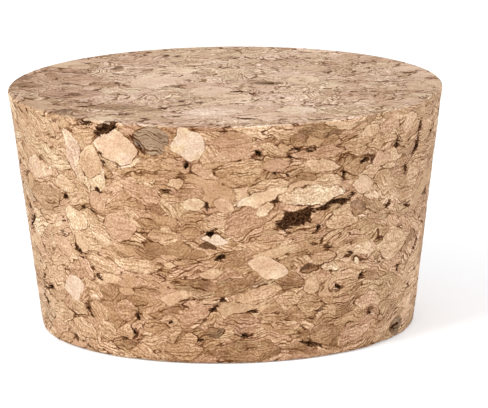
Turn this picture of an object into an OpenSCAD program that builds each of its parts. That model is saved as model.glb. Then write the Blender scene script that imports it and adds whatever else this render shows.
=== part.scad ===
// Tapered cork stopper, cut from a block of pressed and bonded cork granules.
// It stands on its narrow foot at z = 0, with its axis along +Z, in millimetres.
// The granules don't fill the block, so the cut faces show small open hollows
// where granules meet. Each hollow is cut by a slim hull, wide at the surface
// and drawn down to a keel, which follows the face that it is sunk in.

/* [Stopper] */
// Diameter at the widest point, just under the top face
top_d = 36; // [24:0.5:50]
// Diameter of the foot, where the tapered wall would meet the ground
foot_d = 31; // [18:0.5:46]
// Height from foot to top face
stopper_h = 20; // [12:0.5:35]
// Radius that eases the edge of the top face
top_edge_r = 0.25; // [0.1:0.05:1.5]
// Radius that eases the edge of the foot
foot_edge_r = 0.35; // [0.1:0.05:1.5]

/* [Hollows between granules] */
// Distance between the middles of neighbouring hollows, away from the front
hollow_pitch = 3.8; // [3.5:0.1:8]
// Length of a full-sized hollow
hollow_l = 2.6; // [1:0.1:3]
// Width of a full-sized hollow at the surface
hollow_w = 0.6; // [0.2:0.05:1]
// Depth of a full-sized hollow
hollow_depth = 0.9; // [0.3:0.05:1.5]
// Steepest lean of a wall hollow out of the pressed layers, in degrees
hollow_lean = 45; // [0:5:80]
// Distance between the crumbs missing along the edges
crumb_pitch = 7; // [4:0.5:20]
// Number that picks the scatter of the hollows
scatter = 11; // [1:1:99]

/* [Bark] */
// Length of the pocket of dark bark in the front of the wall
bark_l = 3.6; // [2:0.1:6]
// Width of the bark pocket
bark_w = 1.7; // [0.6:0.1:3]
// Depth of the bark pocket
bark_depth = 1; // [0.4:0.1:2]
// Length of the thin bark seam that runs on from the pocket
bark_seam_l = 4.7; // [2:0.1:6]
// Width of the bark seam
bark_seam_w = 0.6; // [0.2:0.05:1]

/* [Chipped rim] */
// Length of the chip that breaks the rim of the top face
chip_l = 2.6; // [1:0.1:4]
// Width of the chip
chip_w = 1; // [0.4:0.1:2]
// Depth of the chip
chip_depth = 1; // [0.4:0.1:2]

/* [Hidden] */

top_r = top_d / 2;
foot_r = foot_d / 2;

// The wall runs from the foot's corner and touches the rounding of the top edge
top_edge_at = [top_r - top_edge_r, stopper_h - top_edge_r];
edge_run = top_edge_at - [foot_r, 0];
wall_lean = atan2(edge_run[0], edge_run[1]) + asin(top_edge_r / norm(edge_run));
foot_edge_at = [wall_r(foot_edge_r) - foot_edge_r / cos(wall_lean), foot_edge_r];

// Segments in each rounded edge, and the smoothness of the turned faces
EDGE_STEPS = 4;
TURN_FN = 180;

// Rise of every cutter above the face that it opens
PROUD = 0.3;
// Cross-sections of a small and of a large cutter, between tips at -1 and 1
FEW_STATIONS = [-0.55, 0, 0.55];
MANY_STATIONS = [-0.84, -0.58, -0.3, 0, 0.3, 0.58, 0.84];
// Steps of the plastic number spread places evenly over a face, and a share of
// the pitch then moves each one, so that no rows show
SPREAD = [0.7548776662, 0.5698402910];
STRAY = 0.4;
// The middle of each flat face stays whole, so that it can bear on something
BEARING_R = 2.5;
// Starts of the numbering of each group of hollows, for their uneven outlines
TOP_GROUP = 400;
FOOT_GROUP = 700;
FRONT_GROUP = 900;
LARGE_GROUP = 1000;
CRUMB_GROUP = 1100;

// Hollows in the front of the wall, each as [degrees to the right of the front,
// share of the height, share of a full-sized hollow's length, share of its
// width and depth, lean in degrees]
FRONT_HOLLOWS = [
    [-65.3, 0.23, 0.60, 0.60, 15],
    [-53.0, 0.048, 0.22, 0.45, -20],
    [-52.7, 0.49, 0.24, 0.40, -15],
    [-51.6, 0.56, 0.17, 0.40, -30],
    [-49.2, 0.655, 0.22, 0.75, 60],
    [-46.2, 0.43, 0.50, 0.50, -52],
    [-45.1, 0.187, 0.60, 0.40, -58],
    [-42.4, 0.622, 0.25, 0.35, 0],
    [-39.3, 0.612, 0.30, 0.35, -35],
    [-39.3, 0.335, 0.25, 0.35, -40],
    [-36.6, 0.71, 0.20, 0.30, -50],
    [-34.5, 0.865, 0.20, 0.35, -45],
    [-34.0, 0.825, 0.20, 0.50, -35],
    [-31.8, 0.087, 0.22, 0.35, 0],
    [-28.7, 0.115, 0.36, 0.50, -60],
    [-26.8, 0.19, 0.40, 0.45, -70],
    [-22.9, 0.915, 0.55, 0.35, -58],
    [-18.8, 0.365, 0.20, 0.27, -5],
    [-16.8, 0.17, 0.15, 0.35, -10],
    [-16.1, 0.73, 0.30, 0.28, -12],
    [-11.0, 0.79, 0.25, 0.35, -30],
    [-10.3, 0.835, 0.24, 0.80, 50],
    [-7.9, 0.187, 0.32, 0.27, 22],
    [-7.9, 0.102, 0.25, 0.50, 10],
    [-5.1, 0.665, 0.36, 0.50, -80],
    [-4.4, 0.55, 0.28, 0.80, 5],
    [-3.9, 0.232, 0.36, 0.45, 45],
    [-1.7, 0.457, 0.38, 0.60, 28],
    [-1.5, 0.272, 0.20, 0.40, 10],
    [4.8, 0.117, 0.25, 0.50, 0],
    [7.2, 0.222, 0.28, 0.40, 0],
    [8.7, 0.885, 0.34, 0.50, -50],
    [13.0, 0.80, 0.14, 0.35, 0],
    [13.3, 0.68, 0.20, 0.40, 15],
    [16.4, 0.79, 0.17, 0.35, -25],
    [17.2, 0.86, 0.20, 0.35, -40],
    [18.3, 0.893, 0.36, 0.35, 8],
    [22.9, 0.889, 0.50, 0.33, 0],
    [25.3, 0.068, 1.20, 0.35, -15],
    [26.0, 0.555, 0.20, 0.60, 45],
    [27.7, 0.20, 0.25, 0.27, 0],
    [29.4, 0.47, 0.22, 0.40, 0],
    [33.2, 0.765, 0.22, 0.75, 60],
    [33.5, 0.295, 0.32, 0.50, -30],
    [37.3, 0.432, 0.22, 0.40, -35],
    [39.7, 0.815, 0.50, 0.50, 22],
    [42.3, 0.812, 0.20, 0.40, -35],
    [41.7, 0.325, 0.35, 0.50, 55],
    [46.9, 0.155, 0.17, 0.45, -30],
    [50.4, 0.60, 0.22, 0.50, 60],
    [52.0, 0.855, 0.35, 0.80, 15],
    [57.5, 0.735, 0.35, 0.50, -80],
    [58.8, 0.31, 0.22, 0.60, 30],
    [59.9, 0.575, 0.50, 0.35, -20],
    [61.2, 0.055, 0.50, 0.80, 10],
    [62.0, 0.81, 0.50, 0.80, 65],
    [63.0, 0.89, 0.50, 0.70, 75]
];
// Hollows in the top face, each as [share of the top's radius to the right, the
// same to the back, then as above]
TOP_HOLLOWS = [
    [-0.62, -0.47, 0.80, 0.60, 38],
    [-0.58, -0.07, 0.22, 0.70, 0],
    [-0.505, 0.235, 0.32, 0.70, -25],
    [-0.49, -0.67, 0.45, 0.50, 10],
    [-0.27, -0.545, 0.30, 0.50, 0],
    [0.06, -0.165, 0.45, 0.60, 15],
    [0.10, -0.81, 0.32, 0.80, -10],
    [0.125, -0.225, 0.30, 0.45, 10],
    [0.215, 0.02, 0.42, 0.90, 0],
    [0.25, -0.33, 0.25, 0.70, -50],
    [0.42, -0.52, 0.60, 0.65, 0],
    [0.495, 0.295, 0.50, 0.60, 42],
    [0.52, -0.10, 0.22, 0.50, 0],
    [0.67, 0.38, 0.30, 0.60, 45],
    [0.855, 0.245, 0.38, 0.60, 30]
];
// Degrees to each side of the front that hold no scattered hollows
FRONT_REACH = 68;
BARK_AT = [19.2, 0.60];
BARK_LEAN = 20;
BARK_SEAM_AT = [30, 0.645];
BARK_SEAM_LEAN = 13;
CHIP_AT = [-32, 0.975];
CHIP_LEAN = 24;
NICK_AT = [-38.5, 0.985];

// Radius of the tapered wall at height z
function wall_r(z) = foot_r + z * tan(wall_lean);

// Share of a number past its whole part
function share(x) = x - floor(x);

// Degrees round the wall, at height z, that a length spans
function wall_angle(len, z) = len / wall_r(z) * 180 / PI;

// Point of the wall at an angle from the front and a height, moved out by rise
function on_wall(angle, z, rise) =
    let (r = wall_r(z) + rise) [r * sin(angle), -r * cos(angle), z];

// Points along an arc
function arc(centre, r, from, to) = [
    for (i = [0:EDGE_STEPS])
        let (a = from + (to - from) * i / EDGE_STEPS)
            centre + r * [cos(a), sin(a)]
];

// Numbers from -1 to 1 that make hollow number i uneven
function unevenness(i) = rands(-1, 1, 2 * len(MANY_STATIONS) + 4, scatter * 2000 + i);

// Scale of a scattered hollow: most are small and a few are full-sized
function hollow_size(u) = 0.4 + 0.6 * u * u;

// Corners of a cutter, each [along, across, rise]: its two tips, then the left
// rim, right rim and keel of each station. The rims stand proud of the face, so
// they flare to leave the width w at the surface.
function hollow_points(l, w, depth, stations, shape) =
    let (
        flare = 1 + PROUD / depth,
        tip = l / 2 * (1 + PROUD),
        rows = [
            for (i = [0:len(stations) - 1])
                let (
                    s = stations[i],
                    fullness = 1 - s * s,
                    half = w / 2 * flare * sqrt(fullness),
                    drift = w / 5 * shape[2 * i],
                    lop = 0.3 * shape[2 * i + 1]
                ) [
                    [s * l / 2, drift + half * (1 + lop), PROUD],
                    [s * l / 2, drift - half * (1 - lop), PROUD],
                    [s * l / 2, drift, -depth * fullness]
                ]
        ]
    ) concat([[-tip, 0, PROUD], [tip, 0, PROUD]], [for (row = rows) each row]);

// Number of the corner on a side of a station: left rim 0, right rim 1, keel 2
function corner(i, side) = 2 + 3 * i + side % 3;

// Triangles of a cutter with this many stations: a fan at each tip, and two
// triangles between neighbouring stations on each of its three sides
function hollow_faces(count) = concat(
    [for (k = [0:2]) [0, corner(0, k), corner(0, k + 1)]],
    [
        for (i = [0:count - 2], k = [0:2]) each [
            [corner(i, k), corner(i + 1, k), corner(i + 1, k + 1)],
            [corner(i, k), corner(i + 1, k + 1), corner(i, k + 1)]
        ]
    ],
    [for (k = [0:2]) [1, corner(count - 1, k + 1), corner(count - 1, k)]]
);

// Cutter points turned by an angle in the plane of the face
function turned(points, angle) = [
    for (p = points) [
        p[0] * cos(angle) - p[1] * sin(angle),
        p[0] * sin(angle) + p[1] * cos(angle),
        p[2]
    ]
];

// Cutter for a hollow in the tapered wall. size is [length, width, depth].
module wall_hollow(angle, z, size, turn, shape, stations = FEW_STATIONS) {
    plan = turned(hollow_points(size[0], size[1], size[2], stations, shape), turn);
    corners = [for (p = plan) on_wall(angle + wall_angle(p[0], z), z + p[1], p[2])];
    polyhedron(corners, hollow_faces(len(stations)));
}

// Cutter for a hollow in a flat face, where up is 1 on the top and -1 on the foot
module face_hollow(x, y, z, up, size, turn, shape) {
    plan = turned(hollow_points(size[0], size[1], size[2], FEW_STATIONS, shape), turn);
    corners = [for (p = plan) [x + p[0], y + up * p[1], z + up * p[2]]];
    polyhedron(corners, hollow_faces(len(FEW_STATIONS)));
}

// Angle from -180 to 180 that is the same as an angle from 0 to 360
function signed(angle) = angle > 180 ? angle - 360 : angle;

// Hollows scattered evenly over the wall, along the layers of pressed granules
module scattered_wall_hollows() {
    count = floor(PI * (top_r + foot_r) * stopper_h / pow(hollow_pitch, 2));
    for (i = [1:count]) {
        n = unevenness(i);
        level = 0.03 + 0.94 * share(i * SPREAD[1] + STRAY * n[6] / sqrt(count));
        angle = 360 * share(i * SPREAD[0] + STRAY * n[7] / sqrt(count)) - 180;
        size = hollow_size(n[8]) * [hollow_l, hollow_w, hollow_depth];
        if (abs(angle) > FRONT_REACH)
            wall_hollow(angle, level * stopper_h, size, hollow_lean * n[9], n);
    }
}

// Hollows scattered over the foot, outside its bearing middle
module scattered_foot_hollows() {
    reach = foot_r - hollow_l / 2;
    count = floor(PI * pow(reach, 2) / pow(hollow_pitch, 2));
    for (i = [1:count]) {
        n = unevenness(FOOT_GROUP + i);
        out = reach * sqrt(share(i * SPREAD[1] + STRAY * n[6] / sqrt(count)));
        around = 360 * share(i * SPREAD[0] + STRAY * n[7] / sqrt(count));
        size = hollow_size(n[8]) * [hollow_l, hollow_w, hollow_depth];
        if (out > BEARING_R + size[0] / 2)
            face_hollow(out * cos(around), out * sin(around), 0, -1, size,
                        90 * n[9], n);
    }
}

// Crumbs missing from an edge of the wall, at the foot or at the rim
module missing_crumbs(z, group) {
    count = floor(2 * PI * wall_r(z) / crumb_pitch);
    for (i = [1:count]) {
        n = unevenness(group + i);
        angle = 360 / count * (i + STRAY * n[7]);
        size = hollow_size(n[8]) * [hollow_l, hollow_w, hollow_depth] / 2;
        if (abs(signed(angle)) > FRONT_REACH)
            wall_hollow(angle, z, size, hollow_lean * n[9] / 2, n);
    }
}

// Size of a hollow from its share of the full length and of the full width
function shared_size(l, w) = [hollow_l * l, hollow_w * w, hollow_depth * w];

// The listed hollows in the front of the wall
module front_hollows() {
    for (i = [0:len(FRONT_HOLLOWS) - 1]) {
        h = FRONT_HOLLOWS[i];
        wall_hollow(h[0], h[1] * stopper_h, shared_size(h[2], h[3]), h[4],
                    unevenness(FRONT_GROUP + i));
    }
}

// The listed hollows in the top face
module top_hollows() {
    for (i = [0:len(TOP_HOLLOWS) - 1]) {
        h = TOP_HOLLOWS[i];
        face_hollow(h[0] * top_r, h[1] * top_r, stopper_h, 1,
                    shared_size(h[2], h[3]), h[4], unevenness(TOP_GROUP + i));
    }
}

// Pocket left by a lump of bark, with the thin seam that runs on from it
module bark_pocket() {
    wall_hollow(BARK_AT[0], BARK_AT[1] * stopper_h, [bark_l, bark_w, bark_depth],
                BARK_LEAN, unevenness(LARGE_GROUP + 1), MANY_STATIONS);
    wall_hollow(BARK_SEAM_AT[0], BARK_SEAM_AT[1] * stopper_h,
                [bark_seam_l, bark_seam_w, bark_depth * 0.6],
                BARK_SEAM_LEAN, unevenness(LARGE_GROUP + 2), MANY_STATIONS);
}

// Chip and nick where granules broke out of the rim
module chipped_rim() {
    chip = [chip_l, chip_w, chip_depth];
    wall_hollow(CHIP_AT[0], CHIP_AT[1] * stopper_h, chip, CHIP_LEAN,
                unevenness(LARGE_GROUP + 3), MANY_STATIONS);
    wall_hollow(NICK_AT[0], NICK_AT[1] * stopper_h, chip / 2, 0,
                unevenness(LARGE_GROUP + 4));
}

// Turned body with eased edges
module blank() {
    outline = concat(
        [[0, 0]],
        arc(foot_edge_at, foot_edge_r, -90, -wall_lean),
        arc(top_edge_at, top_edge_r, -wall_lean, 90),
        [[0, stopper_h]]
    );
    rotate_extrude($fn = TURN_FN) polygon(outline);
}

// The stopper: one piece of bonded cork
module stopper() {
    color("burlywood") difference() {
        blank();
        scattered_wall_hollows();
        top_hollows();
        scattered_foot_hollows();
        missing_crumbs(0, CRUMB_GROUP);
        missing_crumbs(stopper_h, CRUMB_GROUP * 2);
        front_hollows();
        bark_pocket();
        chipped_rim();
    }
}

stopper();
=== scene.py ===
"""Cork stopper: a tapered plug of pressed and bonded cork granules on a pale floor.

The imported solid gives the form: the taper, the eased edges, the small hollows
between granules, the pocket of bark and the chipped rim. This script lays a fine
skin over that solid, raises the granules on it and finishes it as cork.
Lengths are in millimetres unless a name says otherwise.
"""

import logging
import math
from collections.abc import Callable, Sequence
from dataclasses import dataclass, field
from enum import Enum
from typing import Any

import bmesh
import bpy
from mathutils import Matrix, Vector
from mathutils.bvhtree import BVHTree


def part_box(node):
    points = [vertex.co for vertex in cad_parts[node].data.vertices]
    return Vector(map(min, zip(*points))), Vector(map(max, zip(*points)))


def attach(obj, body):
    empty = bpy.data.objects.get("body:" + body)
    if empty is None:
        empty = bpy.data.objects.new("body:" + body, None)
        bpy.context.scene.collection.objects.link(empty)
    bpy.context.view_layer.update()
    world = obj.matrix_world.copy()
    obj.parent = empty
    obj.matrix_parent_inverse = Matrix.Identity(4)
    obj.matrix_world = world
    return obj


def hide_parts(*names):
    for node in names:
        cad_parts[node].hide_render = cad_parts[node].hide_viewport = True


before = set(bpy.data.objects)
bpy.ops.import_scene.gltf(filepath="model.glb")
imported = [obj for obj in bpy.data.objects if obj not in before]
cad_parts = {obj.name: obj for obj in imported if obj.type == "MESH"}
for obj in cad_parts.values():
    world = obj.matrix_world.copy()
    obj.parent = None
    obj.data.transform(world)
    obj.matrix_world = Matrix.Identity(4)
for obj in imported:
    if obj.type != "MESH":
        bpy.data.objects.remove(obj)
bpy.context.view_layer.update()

LOG = logging.getLogger("cork_stopper")
MM = 0.001
BODY = "root"
NODE = "stopper"
SUNK = "sunk"  # The skin's attribute for how deep each point lies in a hollow.
FAR = 1000.0  # Added to a place that no other granule is to reach.
NONE_NEAR = 9.0  # A distance to a seam that is larger than any real one.
PINCH = (0.6, 0.9)  # The second divides a named granule's width, and at its ends both do.

Socket = bpy.types.NodeSocket
Value = Socket | float | Sequence[float]
Triple = tuple[float, float, float]
Colour = tuple[float, float, float, float]


def linear(red: int, green: int, blue: int) -> Colour:
    """Turns a colour of 0 to 255 as seen on a screen into Blender's linear colour.

    Args:
        red: Red, from 0 to 255.
        green: Green, from 0 to 255.
        blue: Blue, from 0 to 255.

    Returns:
        The linear colour with full alpha.
    """
    shares = [c / 255 for c in (red, green, blue)]
    curve = [s / 12.92 if s <= 0.04045 else ((s + 0.055) / 1.055) ** 2.4 for s in shares]
    return (*curve, 1.0)


class Tone(Enum):
    """Where a kind of granule lies on the cork's range of tones, from dark to pale."""

    UMBER = 0.02
    BROWN = 0.15
    RUST = 0.26
    TAN = 0.42
    SAND = 0.62
    PALE = 0.80
    CREAM = 0.97
    IVORY = 1.12


class Cast(Enum):
    """What a granule's colour leans to."""

    GREY = 0.0
    DULL = 0.13
    PLAIN = 0.4
    PINK = 0.55
    ROSY = 0.9


@dataclass(frozen=True)
class Granule:
    """A granule that stands out in a cut face, as an ellipse in that face.

    Attributes:
        right: Place to the right, along the wall or over the top.
        up: Place up the wall, or back over the top.
        length: Length along its lean.
        width: Width across its lean.
        lean: Turn of its length up from the level, in degrees.
        tone: Its place in the range of tones.
        cast: What its colour leans to.
        lined: How plainly its growth lines show.
    """

    right: float
    up: float
    length: float
    width: float
    lean: float
    tone: Tone
    cast: Cast = Cast.PLAIN
    lined: float = 0.8


WALL_GRANULES = (
    Granule(-18.2, 17.2, 4.6, 2.2, -12, Tone.SAND, Cast.DULL, 1.0),
    Granule(-16.6, 18.9, 4.2, 1.5, -20, Tone.SAND, Cast.DULL, 1.0),
    Granule(-16.2, 16.2, 3.2, 1.6, -15, Tone.PALE, Cast.DULL, 1.0),
    Granule(10.8, 15.9, 2.4, 1.5, 10, Tone.TAN, lined=0.6),
    Granule(3.4, 14.8, 3.2, 1.5, 5, Tone.PALE, lined=0.6),
    Granule(10.6, 17.6, 3.8, 1.4, 0, Tone.SAND),
    Granule(-13.0, 13.3, 2.8, 1.6, 0, Tone.PALE, lined=0.6),
    Granule(-5.2, 10.8, 2.8, 1.6, 0, Tone.SAND),
    Granule(5.2, 5.2, 2.2, 1.4, 0, Tone.SAND, lined=0.6),
    Granule(-3.8, 1.2, 3.6, 1.5, 0, Tone.SAND),
    Granule(-11.0, 15.0, 2.8, 1.8, 50, Tone.CREAM, lined=0.6),
    Granule(12.6, 15.0, 3.2, 1.5, 0, Tone.PALE, lined=0.6),
    Granule(5.2, 6.9, 2.6, 1.6, -20, Tone.RUST),
    Granule(9.0, 2.2, 3.6, 2.8, 10, Tone.RUST),
    Granule(-5.0, 3.0, 2.4, 2.2, 0, Tone.PALE, lined=0.6),
    Granule(15.6, 5.0, 5.0, 2.0, -5, Tone.TAN, Cast.DULL, 1.0),
    Granule(1.5, 1.0, 6.4, 1.8, 0, Tone.RUST),
    Granule(3.2, 19.6, 7.0, 1.2, -3, Tone.PALE, Cast.PINK, 0.6),
    Granule(-17.2, 1.0, 3.4, 1.6, 5, Tone.TAN),
    Granule(-12.9, 16.4, 5.2, 4.2, 10, Tone.SAND, Cast.DULL, 0.6),
    Granule(-12.2, 10.6, 5.0, 3.2, -20, Tone.SAND, Cast.DULL, 0.6),
    Granule(-19.6, 10.0, 4.2, 2.0, 8, Tone.PALE),
    Granule(-17.4, 11.0, 3.0, 1.3, 5, Tone.SAND),
    Granule(-17.6, 5.8, 2.6, 3.2, 0, Tone.SAND),
    Granule(-17.2, 2.7, 4.2, 1.6, 10, Tone.SAND, Cast.DULL),
    Granule(-18.2, 1.4, 3.8, 1.3, 5, Tone.TAN, Cast.ROSY),
    Granule(-14.0, 2.0, 3.2, 1.5, -20, Tone.SAND),
    Granule(-14.6, 3.9, 2.6, 1.6, -30, Tone.SAND, Cast.DULL),
    Granule(-11.9, 3.7, 2.4, 1.6, -45, Tone.TAN),
    Granule(-11.0, 2.2, 2.4, 1.5, -20, Tone.SAND, Cast.DULL),
    Granule(-12.3, 5.7, 2.6, 1.1, -35, Tone.SAND),
    Granule(-12.9, 7.4, 2.4, 1.3, -40, Tone.SAND, Cast.ROSY),
    Granule(-15.5, 7.7, 3.2, 1.4, 5, Tone.SAND, lined=1.0),
    Granule(-16.4, 6.7, 2.8, 1.1, -50, Tone.TAN),
    Granule(-15.7, 8.9, 2.8, 1.5, -15, Tone.SAND, Cast.ROSY, 0.3),
    Granule(-10.9, 10.4, 2.4, 1.5, -30, Tone.PALE),
    Granule(-12.0, 15.0, 2.8, 0.8, -70, Tone.CREAM),
    Granule(14.3, 15.9, 3.4, 1.7, 0, Tone.PALE, lined=0.5),
    Granule(18.2, 13.9, 2.6, 2.0, 0, Tone.SAND),
    Granule(17.2, 12.4, 3.2, 1.1, -5, Tone.SAND),
    Granule(16.9, 11.2, 2.8, 1.0, -15, Tone.TAN, Cast.DULL),
    Granule(13.4, 17.4, 3.6, 1.1, 0, Tone.SAND, lined=1.0),
    Granule(14.0, 18.7, 2.6, 1.2, 0, Tone.SAND, Cast.ROSY, 0.4),
    Granule(16.7, 18.6, 2.0, 1.6, 20, Tone.PALE, Cast.ROSY, 0.4),
    Granule(-17.8, 12.7, 5.0, 2.3, 0, Tone.RUST),
    Granule(-16.5, 7.3, 3.0, 1.6, 10, Tone.SAND),
    Granule(-14.2, 16.2, 3.0, 2.0, 0, Tone.PALE),
    Granule(-9.0, 4.2, 2.4, 1.8, 10, Tone.TAN, Cast.ROSY),
    Granule(-9.2, 2.2, 2.0, 1.6, 0, Tone.SAND),
    Granule(-6.6, 14.2, 3.2, 1.6, -15, Tone.TAN, Cast.ROSY),
    Granule(-5.7, 16.7, 3.8, 1.0, 0, Tone.SAND),
    Granule(-5.8, 15.7, 4.6, 0.6, 0, Tone.TAN),
    Granule(-2.0, 6.8, 4.4, 0.9, -8, Tone.RUST),
    Granule(0.7, 6.6, 3.8, 1.2, 20, Tone.RUST),
    Granule(-2.5, 4.2, 3.4, 1.6, 15, Tone.TAN, Cast.ROSY),
    Granule(-6.5, 4.6, 3.0, 1.0, 25, Tone.TAN),
    Granule(-6.3, 3.0, 2.5, 1.2, 0, Tone.TAN),
    Granule(1.0, 16.5, 4.0, 1.4, 12, Tone.TAN),
    Granule(0.6, 18.5, 3.2, 2.2, 0, Tone.TAN, Cast.ROSY, 0.2),
    Granule(4.2, 19.3, 3.0, 0.9, -8, Tone.PALE),
    Granule(3.6, 18.0, 2.2, 0.9, -35, Tone.SAND),
    Granule(7.2, 17.4, 4.8, 1.1, 0, Tone.TAN, Cast.ROSY),
    Granule(3.9, 16.7, 2.4, 1.0, 0, Tone.TAN, Cast.ROSY, 0.1),
    Granule(1.4, 3.4, 3.4, 1.8, -10, Tone.RUST, Cast.ROSY),
    Granule(4.1, 3.9, 2.8, 1.0, 0, Tone.TAN),
    Granule(4.6, 2.8, 3.6, 0.8, -12, Tone.TAN),
    Granule(1.6, 1.6, 2.4, 1.1, -5, Tone.RUST, Cast.DULL),
    Granule(11.2, 3.0, 4.5, 0.9, 3, Tone.TAN),
    Granule(12.5, 1.8, 3.4, 1.0, 0, Tone.PALE, Cast.ROSY),
    Granule(13.2, 4.3, 3.4, 1.2, 0, Tone.PALE, Cast.ROSY),
    Granule(16.0, 8.5, 4.2, 2.5, 0, Tone.PALE, lined=0.5),
    Granule(13.5, 6.3, 2.7, 0.8, -15, Tone.RUST),
    Granule(14.0, 13.9, 3.0, 2.0, -35, Tone.SAND),
    Granule(9.8, 11.4, 3.2, 1.5, 0, Tone.SAND),
    Granule(13.0, 12.2, 3.0, 0.9, -12, Tone.RUST),
    Granule(7.2, 4.7, 2.5, 1.9, 0, Tone.TAN),
    Granule(-9.0, 11.3, 3.2, 2.2, -10, Tone.SAND, Cast.ROSY, 0.3),
    Granule(-10.8, 13.2, 2.2, 1.6, 35, Tone.SAND, Cast.ROSY, 0.3),
    Granule(-18.5, 14.9, 3.8, 1.8, 10, Tone.PALE, Cast.ROSY, 0.4),
    Granule(-14.3, 14.2, 2.4, 1.4, 0, Tone.PALE, lined=0.3),
    Granule(-13.2, 9.4, 2.2, 1.1, -55, Tone.SAND, Cast.DULL, 0.2),
    Granule(-12.8, 16.8, 4.6, 1.6, -72, Tone.CREAM, Cast.ROSY, 0.4),
    Granule(-11.2, 16.5, 3.2, 2.1, 75, Tone.PALE, lined=0.3),
    Granule(-13.5, 11.4, 2.8, 1.6, -20, Tone.PALE, lined=0.4),
    Granule(-12.9, 12.5, 1.3, 0.5, 0, Tone.BROWN),
    Granule(-11.6, 18.9, 2.5, 1.2, 0, Tone.TAN),
    Granule(-14.8, 5.4, 2.9, 1.8, 15, Tone.IVORY, Cast.PINK, 0.1),
    Granule(-10.5, 6.7, 3.0, 0.9, 5, Tone.PALE, lined=0.2),
    Granule(-9.5, 1.2, 2.6, 1.1, 0, Tone.RUST, Cast.DULL),
    Granule(-7.5, 16.8, 2.4, 0.6, 20, Tone.CREAM, lined=0.3),
    Granule(-8.6, 17.9, 3.9, 2.6, -12, Tone.CREAM, Cast.ROSY, 0.1),
    Granule(-5.6, 18.7, 2.8, 2.3, -10, Tone.RUST, Cast.GREY, 0.05),
    Granule(-6.7, 18.3, 1.8, 0.35, -55, Tone.UMBER, Cast.GREY, 0.1),
    Granule(-4.0, 17.9, 1.6, 0.8, -50, Tone.SAND),
    Granule(-2.7, 18.5, 2.8, 2.7, 24, Tone.IVORY, Cast.PINK, 0.1),
    Granule(1.3, 15.7, 2.6, 0.8, 5, Tone.TAN),
    Granule(-3.9, 15.2, 1.5, 0.8, 30, Tone.PALE, lined=0.2),
    Granule(-2.6, 12.6, 2.2, 1.0, 0, Tone.TAN),
    Granule(-2.9, 11.3, 2.1, 1.5, 0, Tone.TAN),
    Granule(-2.6, 13.5, 2.1, 0.8, 5, Tone.CREAM, lined=0.2),
    Granule(-0.2, 13.4, 2.0, 1.0, -25, Tone.PALE, Cast.ROSY, 0.2),
    Granule(1.6, 11.9, 3.6, 2.7, 30, Tone.TAN, Cast.ROSY, 0.9),
    Granule(2.8, 14.0, 4.2, 1.0, 16, Tone.CREAM, lined=0.1),
    Granule(3.0, 13.1, 1.7, 0.9, 25, Tone.CREAM, lined=0.2),
    Granule(-7.3, 12.2, 2.2, 0.5, -25, Tone.PALE),
    Granule(-6.5, 11.8, 2.4, 0.8, -10, Tone.RUST),
    Granule(-0.9, 10.6, 2.1, 0.8, -15, Tone.IVORY, lined=0.1),
    Granule(-1.5, 10.0, 1.2, 0.6, 0, Tone.UMBER),
    Granule(0.5, 10.3, 0.9, 0.6, 0, Tone.TAN),
    Granule(-7.0, 8.2, 3.0, 0.9, -8, Tone.PALE),
    Granule(-6.6, 7.2, 2.8, 0.9, 0, Tone.SAND, Cast.ROSY),
    Granule(-6.9, 6.0, 2.6, 1.0, -5, Tone.RUST, lined=1.0),
    Granule(-4.6, 8.3, 1.2, 0.5, 0, Tone.PALE, lined=0.2),
    Granule(-4.4, 5.6, 2.8, 0.95, 10, Tone.PALE, Cast.PINK, 0.1),
    Granule(-1.3, 7.8, 2.2, 0.8, 12, Tone.PALE, lined=0.2),
    Granule(-1.5, 3.8, 2.2, 0.8, 35, Tone.SAND),
    Granule(-3.2, 2.0, 1.6, 1.2, 0, Tone.SAND),
    Granule(-1.2, 2.7, 1.6, 1.0, 20, Tone.BROWN, Cast.DULL),
    Granule(-6.5, 1.8, 3.0, 1.0, 10, Tone.PALE),
    Granule(3.5, 8.1, 3.4, 1.6, -24, Tone.CREAM, Cast.ROSY, 0.05),
    Granule(2.7, 5.9, 4.0, 1.3, 15, Tone.SAND, lined=0.4),
    Granule(7.2, 19.2, 3.2, 1.1, -5, Tone.RUST, Cast.DULL, 0.5),
    Granule(8.6, 18.9, 2.2, 0.4, 8, Tone.BROWN),
    Granule(5.7, 18.6, 1.6, 1.1, 0, Tone.RUST),
    Granule(11.9, 18.6, 2.2, 0.9, 5, Tone.PALE, lined=0.3),
    Granule(7.8, 16.3, 3.6, 1.1, -8, Tone.PALE, lined=0.3),
    Granule(6.4, 15.5, 2.0, 0.65, -5, Tone.RUST, lined=0.3),
    Granule(8.5, 14.9, 2.4, 1.2, 0, Tone.PALE),
    Granule(7.0, 13.9, 5.8, 1.6, 0, Tone.CREAM, Cast.PINK, 0.6),
    Granule(11.7, 14.3, 2.0, 1.5, 0, Tone.CREAM, Cast.ROSY, 0.2),
    Granule(13.4, 16.1, 2.1, 1.4, 10, Tone.PALE, Cast.ROSY, 0.2),
    Granule(11.3, 12.3, 1.9, 1.1, -25, Tone.BROWN, lined=0.3),
    Granule(16.2, 15.5, 1.4, 0.8, 0, Tone.TAN),
    Granule(8.2, 8.6, 2.4, 1.1, 0, Tone.SAND),
    Granule(9.3, 7.5, 2.2, 1.0, -35, Tone.PALE, lined=0.4),
    Granule(-7.6, 8.2, 4.4, 1.2, 0, Tone.PALE, lined=0.6),
    Granule(7.3, 6.3, 1.8, 1.4, -30, Tone.PALE, lined=0.2),
    Granule(9.0, 7.6, 1.9, 0.7, -20, Tone.CREAM),
    Granule(7.0, 7.75, 1.9, 0.6, 5, Tone.BROWN, lined=1.0),
    Granule(9.0, 4.8, 1.6, 0.8, 0, Tone.SAND),
    Granule(11.5, 7.7, 0.9, 0.5, -50, Tone.CREAM, lined=0.1),
    Granule(12.8, 9.0, 1.1, 0.9, 0, Tone.PALE, lined=0.3),
    Granule(13.7, 8.0, 1.3, 0.8, 0, Tone.RUST, Cast.DULL),
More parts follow.
